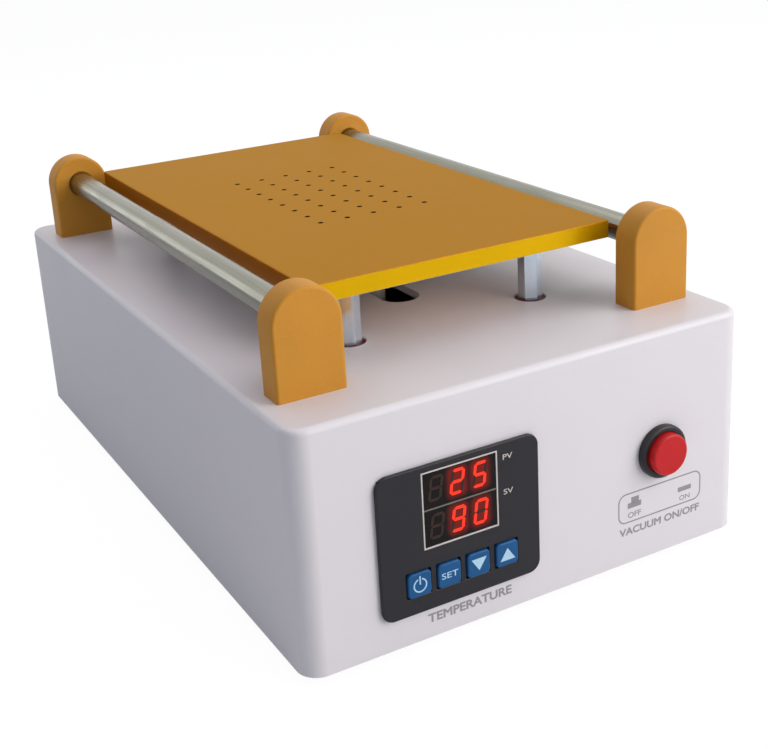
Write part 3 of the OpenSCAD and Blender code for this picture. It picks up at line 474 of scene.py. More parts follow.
def build_smudges(tree, given, result):
    """Roughness that changes where hands and cloths have passed."""
    place = node(tree, "TexCoord", (-900, 300)).outputs["Object"]
    cloud = node(tree, "TexNoise", (-600, 300),
                 {"Vector": place, "Scale": 46.0, "Detail": 4.0, "Distortion": 0.6})
    level = node(tree, "MapRange", (-300, 300), {0: cloud.outputs[0], 1: 0.35, 2: 0.68, 3: -1.0, 4: 1.0})
    shift = node(tree, "Math", (0, 300), {0: level.outputs[0], 1: given["Shift"]}, operation="MULTIPLY")
    total = node(tree, "Math", (250, 300), {0: given["Roughness"], 1: shift.outputs[0]}, operation="ADD",
                 use_clamp=True)
    tree.links.new(total.outputs[0], result["Roughness"])


def build_glow(tree, given, result):
    """Soft patch of light round a place on a face that looks forwards."""
    place = node(tree, "TexCoord", (-900, 300)).outputs["Object"]
    away = node(tree, "VectorMath", (-700, 300), {0: place, 1: given["Middle"]}, operation="SUBTRACT")
    size = node(tree, "VectorMath", (-500, 300), {0: away.outputs[0]}, operation="ABSOLUTE")
    past = node(tree, "VectorMath", (-300, 300), {0: size.outputs[0], 1: given["Half"]}, operation="SUBTRACT")
    kept = node(tree, "VectorMath", (-100, 300), {0: past.outputs[0], 1: (0, 0, 0)}, operation="MAXIMUM")
    flat = node(tree, "VectorMath", (100, 300), {0: kept.outputs[0], 1: (1, 0, 1)}, operation="MULTIPLY")
    far = node(tree, "VectorMath", (300, 300), {0: flat.outputs[0]}, operation="LENGTH")
    level = node(tree, "MapRange", (500, 300),
                 {0: far.outputs["Value"], 1: 0.0, 2: given["Reach"], 3: 1.0, 4: 0.0},
                 interpolation_type="SMOOTHERSTEP")
    tree.links.new(level.outputs[0], result["Mask"])


def make_effects():
    effect("Patches", [("Color", "Color", (1, 1, 1, 1)), ("Float", "Scale", 30.0), ("Float", "Shift", 0.03)],
           [("Color", "Color")], build_patches)
    effect("Grain", [("Float", "Scale", 3000.0), ("Float", "Swell", 0.0)], [("Float", "Height")], build_grain)
    effect("Streaks", [("Vector", "Stretch", (4000, 30, 4000))], [("Float", "Mask")], build_streaks)
    effect("Smudges", [("Float", "Roughness", 0.4), ("Float", "Shift", 0.05)], [("Float", "Roughness")],
           build_smudges)
    effect("Glow", [("Vector", "Middle", (0, 0, 0)), ("Vector", "Half", (0.01, 0.01, 0.01)),
                    ("Float", "Reach", 0.003)], [("Float", "Mask")], build_glow)


def make_finish(name, shade, roughness, metallic=0.0, patch=(30.0, 0.03), grain=(3000.0, 0.01, 0.0),
                smudge=0.04, streaks=None, shader=None):
    """One finish: colour, roughness and relief built of the shared effects, and constants on the shader.

    patch is the scale and shift of the colour's drift, grain the scale, height in millimetres and swell of
    the relief, and streaks the stretch, darkening and polish of the drawn marks.
    """
    made = bpy.data.materials.new(name + "_finish")
    made.use_nodes = True
    tree = made.node_tree
    tree.nodes.clear()
    out = node(tree, "OutputMaterial", (600, 0))
    skin = node(tree, "BsdfPrincipled", (300, 0), {"Metallic": metallic, **(shader or {})})
    tree.links.new(skin.outputs[0], out.inputs["Surface"])
    tone = placed_group(tree, "Patches", (-500, 300),
                        {"Color": (*shade, 1), "Scale": patch[0], "Shift": patch[1]})
    rough = placed_group(tree, "Smudges", (-500, 0), {"Roughness": roughness, "Shift": smudge})
    height = placed_group(tree, "Grain", (-500, -250), {"Scale": grain[0], "Swell": grain[2]})
    if streaks:
        stretch, darkening, polish = streaks
        lines = placed_group(tree, "Streaks", (-800, 0), {"Stretch": stretch})
        dark = (*[c * (1 - darkening) for c in shade], 1)
        tone = node(tree, "Mix", (0, 300), {0: lines, 6: dark, 7: tone}, data_type="RGBA").outputs[2]
        height = node(tree, "Math", (-250, -250), {0: lines, 1: height}, operation="ADD").outputs[0]
        rough = node(tree, "Math", (-250, 0), {0: lines, 1: -polish, 2: rough}, operation="MULTIPLY_ADD",
                     use_clamp=True).outputs[0]
    tree.links.new(tone, skin.inputs["Base Color"])
    tree.links.new(rough, skin.inputs["Roughness"])
    relief = node(tree, "Bump", (50, -250), {"Height": height, "Strength": 1.0, "Distance": grain[1] * MM})
    tree.links.new(relief.outputs[0], skin.inputs["Normal"])
    return made


def sheen(level, **more):
    """Shader values for a surface that shines less than the usual."""
    return {"Specular IOR Level": level, **more}


def make_metal_finishes():
    """Heating plate, rods and posts."""
    c = colours()
    gold = {"Specular Tint": (0.8, 0.55, 0.2, 1)}
    make_finish("plate_gold", c.plate, 0.5, 0.45, patch=(10.0, 0.012), grain=(5200.0, 0.012, 0.0),
                smudge=0.015, shader=sheen(0.12, **gold))
    make_finish("plate_side", c.plate_side, 0.34, 0.6, patch=(40.0, 0.05), grain=(4000.0, 0.006, 0.0),
                streaks=((60, 60, 3600), 0.015, 0.02), shader=sheen(0.35, **gold))
    # Painted shade: a darker copy of the side finish for the long flanks, which lie in shade
    make_finish("plate_flank_shade", c.plate_flank_shade, 0.4, 0.3, patch=(40.0, 0.05), grain=(4000.0, 0.006, 0.0),
                shader=sheen(0.12, **gold))
    # Painted shade inside the suction holes
    make_finish("plate_hole_shade", c.hole, 0.7, patch=(300.0, 0.1), shader=sheen(0.1))
    make_finish("rod_steel", c.rod, 0.3, 1.0, patch=(50.0, 0.06), grain=(3000.0, 0.01, 0.2), smudge=0.08,
                streaks=((2600, 24, 2600), 0.3, 0.12))
    make_finish("post_zinc", c.post, 0.2, 0.85, patch=(80.0, 0.06), grain=(3500.0, 0.006, 0.3), smudge=0.08,
                streaks=((2400, 2400, 120), 0.14, 0.05))


def make_plastic_finishes():
    """Case, brackets, washers, controller, keys and button."""
    c = colours()
    make_finish("case_white", c.case, 0.42, patch=(9.0, 0.012), grain=(1400.0, 0.012, 0.5), smudge=0.05,
                shader={"Coat Weight": 0.1, "Coat Roughness": 0.25})
    make_finish("bracket_ochre", c.bracket, 0.55, patch=(60.0, 0.05), grain=(2400.0, 0.02, 0.3),
                smudge=0.06, shader=sheen(0.3))
    # Red fibre darkened for the shade in the post holes, partly painted shade
    make_finish("fibre_red", c.washer, 0.62, patch=(260.0, 0.12), grain=(2200.0, 0.04, 0.0))
    make_finish("panel_charcoal", c.panel, 0.36, patch=(24.0, 0.05), grain=(5200.0, 0.008, 0.1),
                shader=sheen(0.3))
    make_finish("key_blue", c.key, 0.36, patch=(200.0, 0.06), grain=(3200.0, 0.012, 0.2), shader=sheen(0.25))
    soft = {"Subsurface Weight": 0.06, "Subsurface Radius": (0.003, 0.001, 0.001)}
    make_finish("button_red", c.button, 0.34, patch=(120.0, 0.05), grain=(2600.0, 0.006, 0.3), smudge=0.06,
                shader=sheen(0.3, **soft))
    make_finish("switch_ring", c.switch, 0.36, patch=(90.0, 0.08), grain=(3200.0, 0.012, 0.2),
                shader=sheen(0.3))


def make_print_finishes():
    """Printing, marks and bars of the digits."""
    c = colours()
    make_finish("key_mark", c.mark, 0.5, patch=(300.0, 0.04))
    light = {"Emission Color": (*c.lit, 1), "Emission Strength": 1.05}
    make_finish("digit_lit", (0.3, 0.01, 0.004), 0.5, patch=(900.0, 0.05), shader=sheen(0.1, **light))
    make_finish("digit_unlit", c.unlit, 0.5, patch=(900.0, 0.08), shader=sheen(0.2))
    for name, shade, roughness in (("printing", c.printing, 0.6), ("outline", c.outline, 0.5),
                                   ("divider", c.divider, 0.5)):
        make_finish(name, shade, roughness, patch=(500.0, 0.06), grain=(6000.0, 0.004, 0.0))


# Half size in metres of the light that a digit throws on the window, how far it fades, and its colour
GLOW_HALF, GLOW_REACH, GLOW_COLOUR = (0.0013, 0.01, 0.0026), 0.003, (0.17, 0.006, 0.002, 1)


def make_window_finish():
    """Dark window with the light that the lit digits throw on it."""
    made = make_finish("display_black", colours().window, 0.2, patch=(40.0, 0.1), grain=(900.0, 0.002, 0.4),
                       shader=sheen(0.2, **{"Emission Strength": 1.0}))
    tree = made.node_tree
    at = middle("display_window")
    glow = None
    for up in DIGIT_ROWS:
        for column in DIGIT_COLUMNS[1:]:
            spot = Vector((at.x + column, at.y, at.z + up)) * MM
            mask = placed_group(tree, "Glow", (-500, 600 + 30 * up),
                                {"Middle": spot, "Half": GLOW_HALF, "Reach": GLOW_REACH})
            if glow:
                mask = node(tree, "Math", (-250, 700), {0: glow, 1: mask}, operation="MAXIMUM").outputs[0]
            glow = mask
    shine = node(tree, "Mix", (0, 700), {0: glow, 6: (0, 0, 0, 1), 7: GLOW_COLOUR}, data_type="RGBA")
    tree.links.new(shine.outputs[2], tree.nodes["Principled BSDF"].inputs["Emission Color"])


# Colour, roughness, metallic, patch and grain of what shows from below and behind, or is inside
PLAIN_FINISHES = {
    "base_steel": (tint(186, 190, 192), 0.38, 0.9, (22.0, 0.09), (1500.0, 0.012, 0.6)),
    "dark_screws": (tint(46, 46, 48), 0.4, 0.6, (200.0, 0.1), (3200.0, 0.01, 0.0)),
    "foot_rubber": (tint(34, 34, 36), 0.78, 0.0, (160.0, 0.12), (2400.0, 0.05, 0.0)),
    "zinc_screws": (tint(186, 188, 186), 0.32, 0.9, (200.0, 0.08), (3200.0, 0.008, 0.0)),
    "silicone_red": (tint(176, 52, 34), 0.6, 0.0, (60.0, 0.06), (1300.0, 0.05, 0.0)),
    "bare_aluminium": (tint(196, 198, 200), 0.36, 0.9, (40.0, 0.05), (2600.0, 0.012, 0.0)),
    "brass": (tint(206, 168, 84), 0.3, 0.95, (80.0, 0.07), (3000.0, 0.006, 0.0)),
    "black_plastic": (tint(36, 36, 38), 0.44, 0.0, (50.0, 0.1), (2600.0, 0.02, 0.2)),
    "clear_silicone": (tint(206, 208, 204), 0.4, 0.0, (40.0, 0.04), (900.0, 0.01, 0.4)),
    "lead_sleeve": (tint(188, 180, 168), 0.62, 0.0, (400.0, 0.12), (3600.0, 0.04, 0.0)),
    "board_green": (tint(30, 92, 52), 0.36, 0.0, (90.0, 0.12), (2000.0, 0.012, 0.4)),
    "terminal_green": (tint(42, 132, 74), 0.46, 0.0, (70.0, 0.05), (2600.0, 0.02, 0.0)),
    "switch_grey": (tint(64, 64, 68), 0.44, 0.0, (70.0, 0.08), (2600.0, 0.02, 0.0)),
    "motor_steel": (tint(176, 178, 180), 0.34, 0.9, (40.0, 0.06), (2400.0, 0.008, 0.2)),
    "pump_grey": (tint(120, 122, 124), 0.5, 0.0, (50.0, 0.08), (2200.0, 0.03, 0.0)),
    "rotor_copper": (tint(188, 104, 62), 0.36, 0.85, (300.0, 0.12), (2200.0, 0.03, 0.0)),
    "cradle_white": (tint(222, 222, 218), 0.5, 0.0, (60.0, 0.04), (2200.0, 0.02, 0.0)),
    "transformer_yellow": (tint(214, 188, 60), 0.5, 0.0, (120.0, 0.08), (1600.0, 0.03, 0.3)),
    "capacitor_blue": (tint(40, 60, 120), 0.4, 0.0, (120.0, 0.06), (2200.0, 0.008, 0.2)),
}


class SEPARATOR_OT_finishes(Operator):
    """Make the finishes and give each node of the frame its own"""
    bl_idname = "separator.finishes"
    bl_label = "Finishes"

    def execute(self, context):
        make_effects()
        make_metal_finishes()
        make_plastic_finishes()
        make_print_finishes()
        make_window_finish()
        for name, values in PLAIN_FINISHES.items():
            make_finish(name, *values)
        for part in frame["record"]["subparts"]:
            for slot in frame["nodes"][part["node"]].material_slots:
                slot.material = finish_of(part["material_slot"])
        return {"FINISHED"}


# Case, in millimetres

SLOT_FRONT, SLOT_REAR, SLOT_HALF = -49.3, -6.5, 6.0
COLUMNS = [(x, y) for x in (-61.6, 61.6) for y in (-104.6, 104.6)]
COLUMN_RADIUS = 4.0
BUTTON_HOLE_RADIUS = 7.05
# Half width and half height of the hole that each piece has in the case wall
WALL_HOLES = {"controller_bezel": (23.05, 19.2), "inlet_socket": (13.9, 9.9), "rocker_housing": (6.65, 9.65)}
# How far the cutters reach below the top of the case, and to both sides of a wall's face
TOP_CUT, WALL_CUT = 9.0, 7.0


class SEPARATOR_OT_case(Operator):
    """Painted case with its openings and corner columns"""
    bl_idname = "separator.case_shell"
    bl_label = "Case"

    def execute(self, context):
        s = sizes()
        low, high = span("case_shell")
        wall = s.case_wall / MM
        shell = bevel(block("case", low, high), along("Z"), s.case_corner, 14)
        bevel(shell, lying_at("Z", high.z), s.case_edge, 6)
        inner = block("room", (low.x + wall, low.y + wall, low.z - PAST),
                      (high.x - wall, high.y - wall, high.z - wall))
        cut(shell, [bevel(inner, along("Z"), s.case_corner - s.case_wall, 10)])
        floor, sky = high.z - TOP_CUT, high.z + PAST
        slot = block("slot", (-SLOT_HALF, SLOT_FRONT, floor), (SLOT_HALF, SLOT_REAR, sky))
        cutters = [bevel(slot, along("Z"), SLOT_HALF * FULL_ROUND * MM, 12)]
        for place in post_places():
            cutters.append(drum("post_hole", "Z", place, s.post_hole / MM / 2, floor, sky, 48))
        for name, (half_x, half_z) in WALL_HOLES.items():
            at = middle(name)
            face = low.y if at.y < 0 else high.y
            cutters.append(block("wall_hole", (at.x - half_x, face - WALL_CUT, at.z - half_z),
                                 (at.x + half_x, face + WALL_CUT, at.z + half_z)))
        at = middle("suction_button")
        cutters.append(drum("button_hole", "Y", (at.x, at.z), BUTTON_HOLE_RADIUS, low.y - WALL_CUT,
                            low.y + WALL_CUT, 48))
        cut(shell, cutters)
        softened(shell, s.rim, 2, 50)
        foot = span("base_plate")[1].z
        columns = [drum("column", "Z", place, COLUMN_RADIUS, foot, high.z - wall + LAP, 32)
                   for place in COLUMNS]
        shell = joined("case", [shell, *columns])
        finished(shell, "base", "case_white", ["case_shell"], 30)
        return {"FINISHED"}


# Feet and screws, in millimetres

FOOT_EDGE, FOOT_RECESS_RADIUS, FOOT_BORE_RADIUS = 0.5, 3.4, 1.7
SCREW_RADIUS, HEAD_RADIUS, TIP_CHAMFER = 1.5, 2.8, 0.3
BASE_SCREW_REACH, BASE_HEAD = 9.5, 1.8
REAR_SCREW_REACH, REAR_HEAD = 9.0, 1.25
# Half width of the cross recess, then shares of the head: how far it reaches, what is left under it, the dome
CROSS_HALF, CROSS_REACH, CROSS_FLOOR, DOME = 0.3, 0.6, 0.35, 0.5


class SEPARATOR_OT_feet(Operator):
    """Rubber feet with a recess for the screw"""
    bl_idname = "separator.feet"
    bl_label = "Feet"

    def execute(self, context):
        low, high = span("foot_front_left")
        foot = drum("foot", "Z", (0, 0), (high.x - low.x) / 2, low.z, high.z, 48)
        cut(foot, [drum("recess", "Z", (0, 0), FOOT_RECESS_RADIUS, -NEAR, high.z / 2, 32),
                   drum("bore", "Z", (0, 0), FOOT_BORE_RADIUS, -NEAR, high.z + NEAR, 24)])
        softened(foot, FOOT_EDGE * MM, 3, 60)
        for end in ("front", "rear"):
            for side in ("left", "right"):
                at = middle(f"foot_{end}_{side}")
                piece = copied(foot, f"rubber_foot_{end}_{side}", (at.x, at.y, 0))
                finished(piece, "base", "foot_rubber", [f"foot_{end}_{side}"])
        discard(foot)
        return {"FINISHED"}


def cross_screw(name, reach, thick):
    """Pan head screw at the origin, its shank along +Z and a cross recess in the head below."""
    screw = drum(name, "Z", (0, 0), HEAD_RADIUS, -thick, 0, 40)
    bevel(screw, lying_at("Z", -thick), thick * DOME * MM, 4)
    arm = HEAD_RADIUS * CROSS_REACH
    for half_x, half_y in ((arm, CROSS_HALF), (CROSS_HALF, arm)):
        cut(screw, [block("arm", (-half_x, -half_y, -thick - NEAR), (half_x, half_y, -thick * CROSS_FLOOR))])
    shank = drum("shank", "Z", (0, 0), SCREW_RADIUS, -SEAM, reach, 24)
    return joined(name, [screw, bevel(shank, lying_at("Z", reach), TIP_CHAMFER * MM, 1)])


class SEPARATOR_OT_screws(Operator):
    """Screws under the base and beside the mains inlet"""
    bl_idname = "separator.screws"
    bl_label = "Screws"

    def execute(self, context):
        base = cross_screw("base_screw", BASE_SCREW_REACH, BASE_HEAD)
        seat = span("base_plate")[0].z
        copies = [copied(base, "base_screw_copy", (*place, seat)) for place in COLUMNS]
        finished(joined("base_screw_set", copies), "base", "dark_screws", ["base_screws"])
        rear = cross_screw("rear_screw", REAR_SCREW_REACH, REAR_HEAD)
        seat, at = span("inlet_socket")[1].y, middle("inlet_socket")
        copies = [copied(rear, "rear_screw_copy", (x, seat, at.z), (math.pi / 2, 0, 0))
                  for x in (at.x - INLET_SCREW_X, at.x + INLET_SCREW_X)]
        finished(joined("inlet_screw_set", copies), "base", "zinc_screws", ["inlet_screws"])
        discard(base, rear)
        return {"FINISHED"}


# Brackets and rods, in millimetres

SOCKET_MOUTH = 0.55
ARCH_WELD = 0.02


class SEPARATOR_OT_brackets(Operator):
    """Moulded rod brackets with round tops and blind sockets"""
    bl_idname = "separator.brackets"
    bl_label = "Rod brackets"

    def execute(self, context):
        s = sizes()
        low, high = span("bracket_front_left")
        half_x, half_y, _ = (high - low) / 2
        axis = middle("guide_rod_left").z
        radius, mouth = s.socket / MM / 2, SOCKET_MOUTH
        arch = block("arch", (-half_x, -half_y, low.z), (half_x, half_y, high.z))
        across = along("Y")
        bevel(arch, lambda e: across(e) and ends(e)[0].z > axis, half_x * FULL_ROUND * MM, 18)
        welded(arch, ARCH_WELD * MM)
        rims, foot = lying_at("Y", -half_y, half_y), lying_at("Z", low.z)
        bevel(arch, lambda e: rims(e) and not foot(e), s.bracket_fillet, 4)
        floor = half_y - s.socket_depth / MM
        cut(arch, [drum("socket", "Y", (0, axis), radius, floor, half_y + 2 * NEAR, 48)])
        cut(arch, [drum("mouth", "Y", (0, axis), radius, half_y - mouth, half_y + SEAM, 48, radius + mouth)])
        for end, turn in (("front", 0), ("rear", math.pi)):
            for side in ("left", "right"):
                at = middle(f"bracket_{end}_{side}")
                piece = copied(arch, f"rod_bracket_{end}_{side}", (at.x, at.y, 0), (0, 0, turn))
                finished(piece, "base", "bracket_ochre", [f"bracket_{end}_{side}"], 30)
        discard(arch)
        return {"FINISHED"}


class SEPARATOR_OT_rods(Operator):
    """Guide rods that the cutting wire rolls over"""
    bl_idname = "separator.rods"
    bl_label = "Guide rods"

    def execute(self, context):
        for side in ("left", "right"):
            low, high = span(f"guide_rod_{side}")
            at = (low + high) / 2
            rod = drum(f"rod_{side}", "Y", (at.x, at.z), (high.z - low.z) / 2, low.y, high.y)
            bevel(rod, lying_at("Y", low.y, high.y), sizes().rod_chamfer, 2)
            finished(rod, f"rod_{side}", "rod_steel", [f"guide_rod_{side}"])
        return {"FINISHED"}


# Posts, plate and suction cover, in millimetres

STUD_HOLE_RADIUS, STUD_HOLE_DEPTH, STUD_PLAY = 1.6, 3.8, 0.1
GAUGE_PLAY, POST_EDGE = 0.02, 0.1
WASHER_PLAY, WASHER_BORE_PLAY, WASHER_EDGE = 0.2, 0.15, 0.15
PLATE_CORNER, PLATE_RIM = 1.0, 1.2
# The hole walls and the long flanks of the plate get painted shade, darker colours for where less light falls
# How far a normal may look up on the sides and in the holes, and how far aside it looks on the flanks
SIDE_NORMAL, SHADED_HOLE_NORMAL, SHADED_FLANK_NORMAL = 0.3, 0.9, 0.8
HOLE_COLUMNS, HOLE_ROWS = 5, 8
COVER_FLOOR, COVER_MARGIN, COVER_EDGE, NECK_RADIUS = 2.0, 3.25, 0.5, 2.6


class SEPARATOR_OT_posts(Operator):
    """Hexagon posts and the fibre washers they stand on"""
    bl_idname = "separator.posts"
    bl_label = "Posts and washers"

    def execute(self, context):
        s = sizes()
        (low, high), top = span("posts"), span("heating_plate")[0].z
        corner = s.post_flats / MM / 2 / math.cos(math.pi / 6)
        stud_radius = STUD_HOLE_RADIUS - STUD_PLAY
        post = drum("post", "Z", (0, 0), corner, low.z, top, 6)
        gauge = drum("gauge", "Z", (0, 0), corner + GAUGE_PLAY, low.z, top)
        cut(post, [bevel(gauge, lying_at("Z", low.z, top), s.post_chamfer, 1)], "INTERSECT")
        softened(post, POST_EDGE * MM, 1, 50)
        stud = drum("stud", "Z", (0, 0), stud_radius, top - LAP, high.z, 24)
        post = joined("post", [post, bevel(stud, lying_at("Z", high.z), TIP_CHAMFER * MM, 1)])
        low, high = span("post_washers")
        washer = drum("washer", "Z", (0, 0), s.post_hole / MM / 2 - WASHER_PLAY, low.z, high.z, 48)
        bore = stud_radius + WASHER_BORE_PLAY
        cut(washer, [drum("bore", "Z", (0, 0), bore, low.z - NEAR, high.z + NEAR, 32)])
        softened(washer, WASHER_EDGE * MM, 2, 50)
        posts = [copied(post, "post_copy", (*place, 0)) for place in post_places()]
        washers = [copied(washer, "washer_copy", (*place, 0)) for place in post_places()]
        finished(joined("post_set", posts), "base", "post_zinc", ["posts"], 20)
        finished(joined("washer_set", washers), "base", "fibre_red", ["post_washers"])
        discard(post, washer)
        return {"FINISHED"}


class SEPARATOR_OT_plate(Operator):
    """Heating plate with its countersunk suction holes"""
    bl_idname = "separator.heating_plate"
    bl_label = "Heating plate"

    def execute(self, context):
        s = sizes()
        low, high = span("heating_plate")
        at = (low + high) / 2
        plate = bevel(block("hot_plate", low, high), along("Z"), PLATE_CORNER * MM, 4)
        bevel(plate, lying_at("Z", high.z), s.plate_edge, 2)
        radius, edge, pitch = s.hole / MM / 2, s.hole_edge / MM, s.hole_pitch / MM
        below = low.z - 2 * NEAR
        drill = drum("drill", "Z", (0, 0), radius, below, high.z + 2 * NEAR, 20)
        sink = drum("sink", "Z", (0, 0), radius, high.z - edge, high.z + edge, 20, radius + 2 * edge)
        cut(drill, [sink], "UNION")
        drills = []
        for column in range(HOLE_COLUMNS):
            for row in range(HOLE_ROWS):
                x = at.x + (column - (HOLE_COLUMNS - 1) / 2) * pitch
                y = at.y + (row - (HOLE_ROWS - 1) / 2) * pitch
                drills.append(copied(drill, "drill_copy", (x, y, 0)))
        for place in post_places():
            drills.append(drum("stud_hole", "Z", place, STUD_HOLE_RADIUS, below, low.z + STUD_HOLE_DEPTH, 24))
        cut(plate, drills)
        discard(drill)
        finished(plate, "base", "plate_gold", ["heating_plate"], 20,
                 ["plate_gold", "plate_side", "plate_hole_shade", "plate_flank_shade"])

        def at_rim(face):
            out = face.center / MM - at
            return abs(out.x) > high.x - at.x - PLATE_RIM or abs(out.y) > high.y - at.y - PLATE_RIM

        painted(plate, "plate_side", lambda f: abs(f.normal.z) < SIDE_NORMAL and at_rim(f))
        # Painted shade on the hole walls and countersinks
        painted(plate, "plate_hole_shade", lambda f: abs(f.normal.z) < SHADED_HOLE_NORMAL and not at_rim(f))
        # Painted shade on the long flanks
        painted(plate, "plate_flank_shade", lambda f: abs(f.normal.x) > SHADED_FLANK_NORMAL and at_rim(f))
        return {"FINISHED"}


class SEPARATOR_OT_cover(Operator):
    """Suction cover under the plate with broken edges"""
    bl_idname = "separator.suction_cover"
    bl_label = "Suction cover"

    def execute(self, context):
        low, high = span("suction_cover")
        at, nozzle = (low + high) / 2, middle("suction_nozzle")
        cover = softened(block("cover", low, high), COVER_EDGE * MM, 3, 60)
        pitch = sizes().hole_pitch / MM
        half_x = (HOLE_COLUMNS - 1) / 2 * pitch + COVER_MARGIN
        half_y = (HOLE_ROWS - 1) / 2 * pitch + COVER_MARGIN
        room = block("room", (at.x - half_x, at.y - half_y, low.z + COVER_FLOOR),
                     (at.x + half_x, at.y + half_y, high.z + NEAR))
        neck = drum("neck_hole", "Z", (nozzle.x, nozzle.y), NECK_RADIUS, low.z - NEAR,
                    low.z + COVER_FLOOR + NEAR, 32)
        cut(cover, [room, neck])
        finished(cover, "base", "bare_aluminium", ["suction_cover"])
        return {"FINISHED"}


# Controller, in millimetres

BEZEL_EDGE, WINDOW_EDGE, LINE_EDGE = 0.3, 0.15, 0.06
DIVIDER_UP, DIVIDER_OUT, LINE_SUNK = 0.05, 0.06, 0.05
# Marks beside the rows: their words and heights over the divider, where they start and end beside the
# window, how tall they are, and how bold thin lettering is
ROW_MARKS = {"PV": 7.4, "SV": -2.4}
ROW_MARK_LEFT, ROW_MARK_RIGHT, ROW_MARK_HEIGHT, THIN = 1.9, 4.8, 1.5, 0.003
# Each bar of a digit: its place in half widths and half heights, and if it stands upright
BARS = {"a": (0, 1, 0), "b": (1, 0.5, 1), "c": (1, -0.5, 1), "d": (0, -1, 0), "e": (-1, -0.5, 1),
        "f": (-1, 0.5, 1), "g": (0, 0, 0)}
DIGITS = {"2": "abged", "5": "afgcd", "9": "abcdfg", "0": "abcdef", " ": ""}
DIGIT_COLUMNS, DIGIT_ROWS, NUMBERS = (-7.0, -0.7, 6.0), (5.5, -4.9), (" 25", " 90")
BAR_GAP, BAR_OUT, BAR_SUNK, BAR_TAPER = 0.07, 0.05, 0.1, 0.96
KEYS = ("power", "set", "down", "up")
KEY_PLAY, KEY_CAP, KEY_LIP_START, KEY_LIP_END, KEY_STEM_RADIUS = 0.15, 2.1, 1.81, 2.6, 1.5
MARK_SUNK, RING_RADIUS, RING_LINE, RING_DROP = 0.3, 2.0, 0.4, 0.1
# The gap in the power mark's ring and the bar in the gap, by their heights over the middle of the key
GAP_HALF, GAP_UP, BAR_UP = 0.55, (0.2, 3), (0.1, 2.5)
ARROW_HALF_X, ARROW_HALF_Z, ARROW_TIP = 2.3, 1.7, 0.02
SET_HALF_X, SET_HALF_Z = 2.45, 0.85


class SEPARATOR_OT_bezel(Operator):
    """Controller bezel with its window, key openings and outline"""
    bl_idname = "separator.controller_bezel"
    bl_label = "Controller bezel"

    def execute(self, context):
        s = sizes()
        low, high = span("controller_bezel")
        inner, outer = span("display_window")
        wall = span("case_shell")[0].y
        bezel = bevel(block("bezel", low, (high.x, wall, high.z)), along("Y"), s.bezel_corner, 8)
        front, back = low.y - PAST, high.y + PAST
        cutters = [block("window_hole", (inner.x, front, inner.z), (outer.x, back, outer.z))]
        gap = s.key_lip / MM - KEY_PLAY
        for name in KEYS:
            start, end = span(f"key_{name}")
            cutters.append(block("key_hole", (start.x + gap, front, start.z + gap),
                                 (end.x - gap, back, end.z - gap)))
        cut(bezel, cutters)
        softened(bezel, BEZEL_EDGE * MM, 3, 60)
        finished(bezel, "base", "panel_charcoal", ["controller_bezel"])
        window = bevel(block("window", inner, outer), lying_at("Y", inner.y), WINDOW_EDGE * MM, 2)
        finished(window, "base", "display_black", ["display_window"])
        self.draw_lines(low.y, inner, outer)
        return {"FINISHED"}

    def draw_lines(self, face, inner, outer):
        """Line round the window, bar between its rows and the marks beside them."""
        s = sizes()
        front, back, line = face - s.print_height / MM, inner.y + LINE_SUNK, s.line / MM / 2
        outline = block("window_outline", (inner.x - line, front, inner.z - line),
                        (outer.x + line, back, outer.z + line))
        cut(outline, [block("inside", (inner.x + line, front - NEAR, inner.z + line),
                            (outer.x - line, back + NEAR, outer.z - line))])
        finished(softened(outline, LINE_EDGE * MM, 1), "base", "panel_charcoal", finishes=["outline"])
        centre = (inner.z + outer.z) / 2 + DIVIDER_UP
        divider = block("window_divider", (inner.x + line, inner.y - DIVIDER_OUT, centre - line),
                        (outer.x - line, back, centre + line))
        finished(divider, "base", "display_black", finishes=["divider"])
        left, right = outer.x + ROW_MARK_LEFT, outer.x + ROW_MARK_RIGHT
        for words, up in ROW_MARKS.items():
            mark = lettering(f"mark_{words.lower()}", words, left, right, centre + up,
                             centre + up + ROW_MARK_HEIGHT, face, THIN)
            finished(mark, "base", "panel_charcoal", finishes=["outline"])


class SEPARATOR_OT_digits(Operator):
    """Two rows of three digits, their bars lit or dark"""
    bl_idname = "separator.digits"
    bl_label = "Display digits"

    def execute(self, context):
        s = sizes()
        bar = s.digit_bar / MM
        half = Vector((s.digit_width / MM - bar, s.digit_height / MM - bar)) / 2
        at, front = middle("display_window"), span("display_window")[0].y
        models = []
        for reach in (half.x, half.y / 2):
            piece = block("bar", (-reach + BAR_GAP, front - BAR_OUT, -bar / 2),
                          (reach - BAR_GAP, front + BAR_SUNK, bar / 2))
            models.append(bevel(piece, along("Y"), bar / 2 * BAR_TAPER * MM, 1))
        lit, dark = [], []
        for number, up in zip(NUMBERS, DIGIT_ROWS):
            for digit, x in zip(number, DIGIT_COLUMNS):
                for name, (across, rise, upright) in BARS.items():
                    move = (at.x + x + across * half.x, 0, at.z + up + rise * half.y)
                    piece = copied(models[upright], "bar_copy", move, (0, upright * math.pi / 2, 0))
                    for v in piece.data.vertices:
                        v.co.x += (v.co.z - (at.z + up) * MM) * math.tan(s.digit_slant)
                    (lit if name in DIGITS[digit] else dark).append(piece)
        finished(joined("digits_lit", lit), "base", "display_black", finishes=["digit_lit"])
        finished(joined("digits_dark", dark), "base", "display_black", finishes=["digit_unlit"])
        discard(*models)
        return {"FINISHED"}


def power_mark(x, z, front):
    """Broken ring with a bar."""
    back = front + MARK_SUNK
    centre = (x, z - RING_DROP)
    ring = drum("mark_power", "Y", centre, RING_RADIUS, front, back, 40)
    cut(ring, [drum("ring_hole", "Y", centre, RING_RADIUS - RING_LINE, front - NEAR, back + NEAR, 40)])
    low, high = GAP_UP
    cut(ring, [block("gap", (x - GAP_HALF, front - NEAR, z + low), (x + GAP_HALF, back + NEAR, z + high))])
    half = RING_LINE / 2
    low, high = BAR_UP
    return joined("mark_power", [ring, block("bar", (x - half, front, z + low), (x + half, back, z + high))])


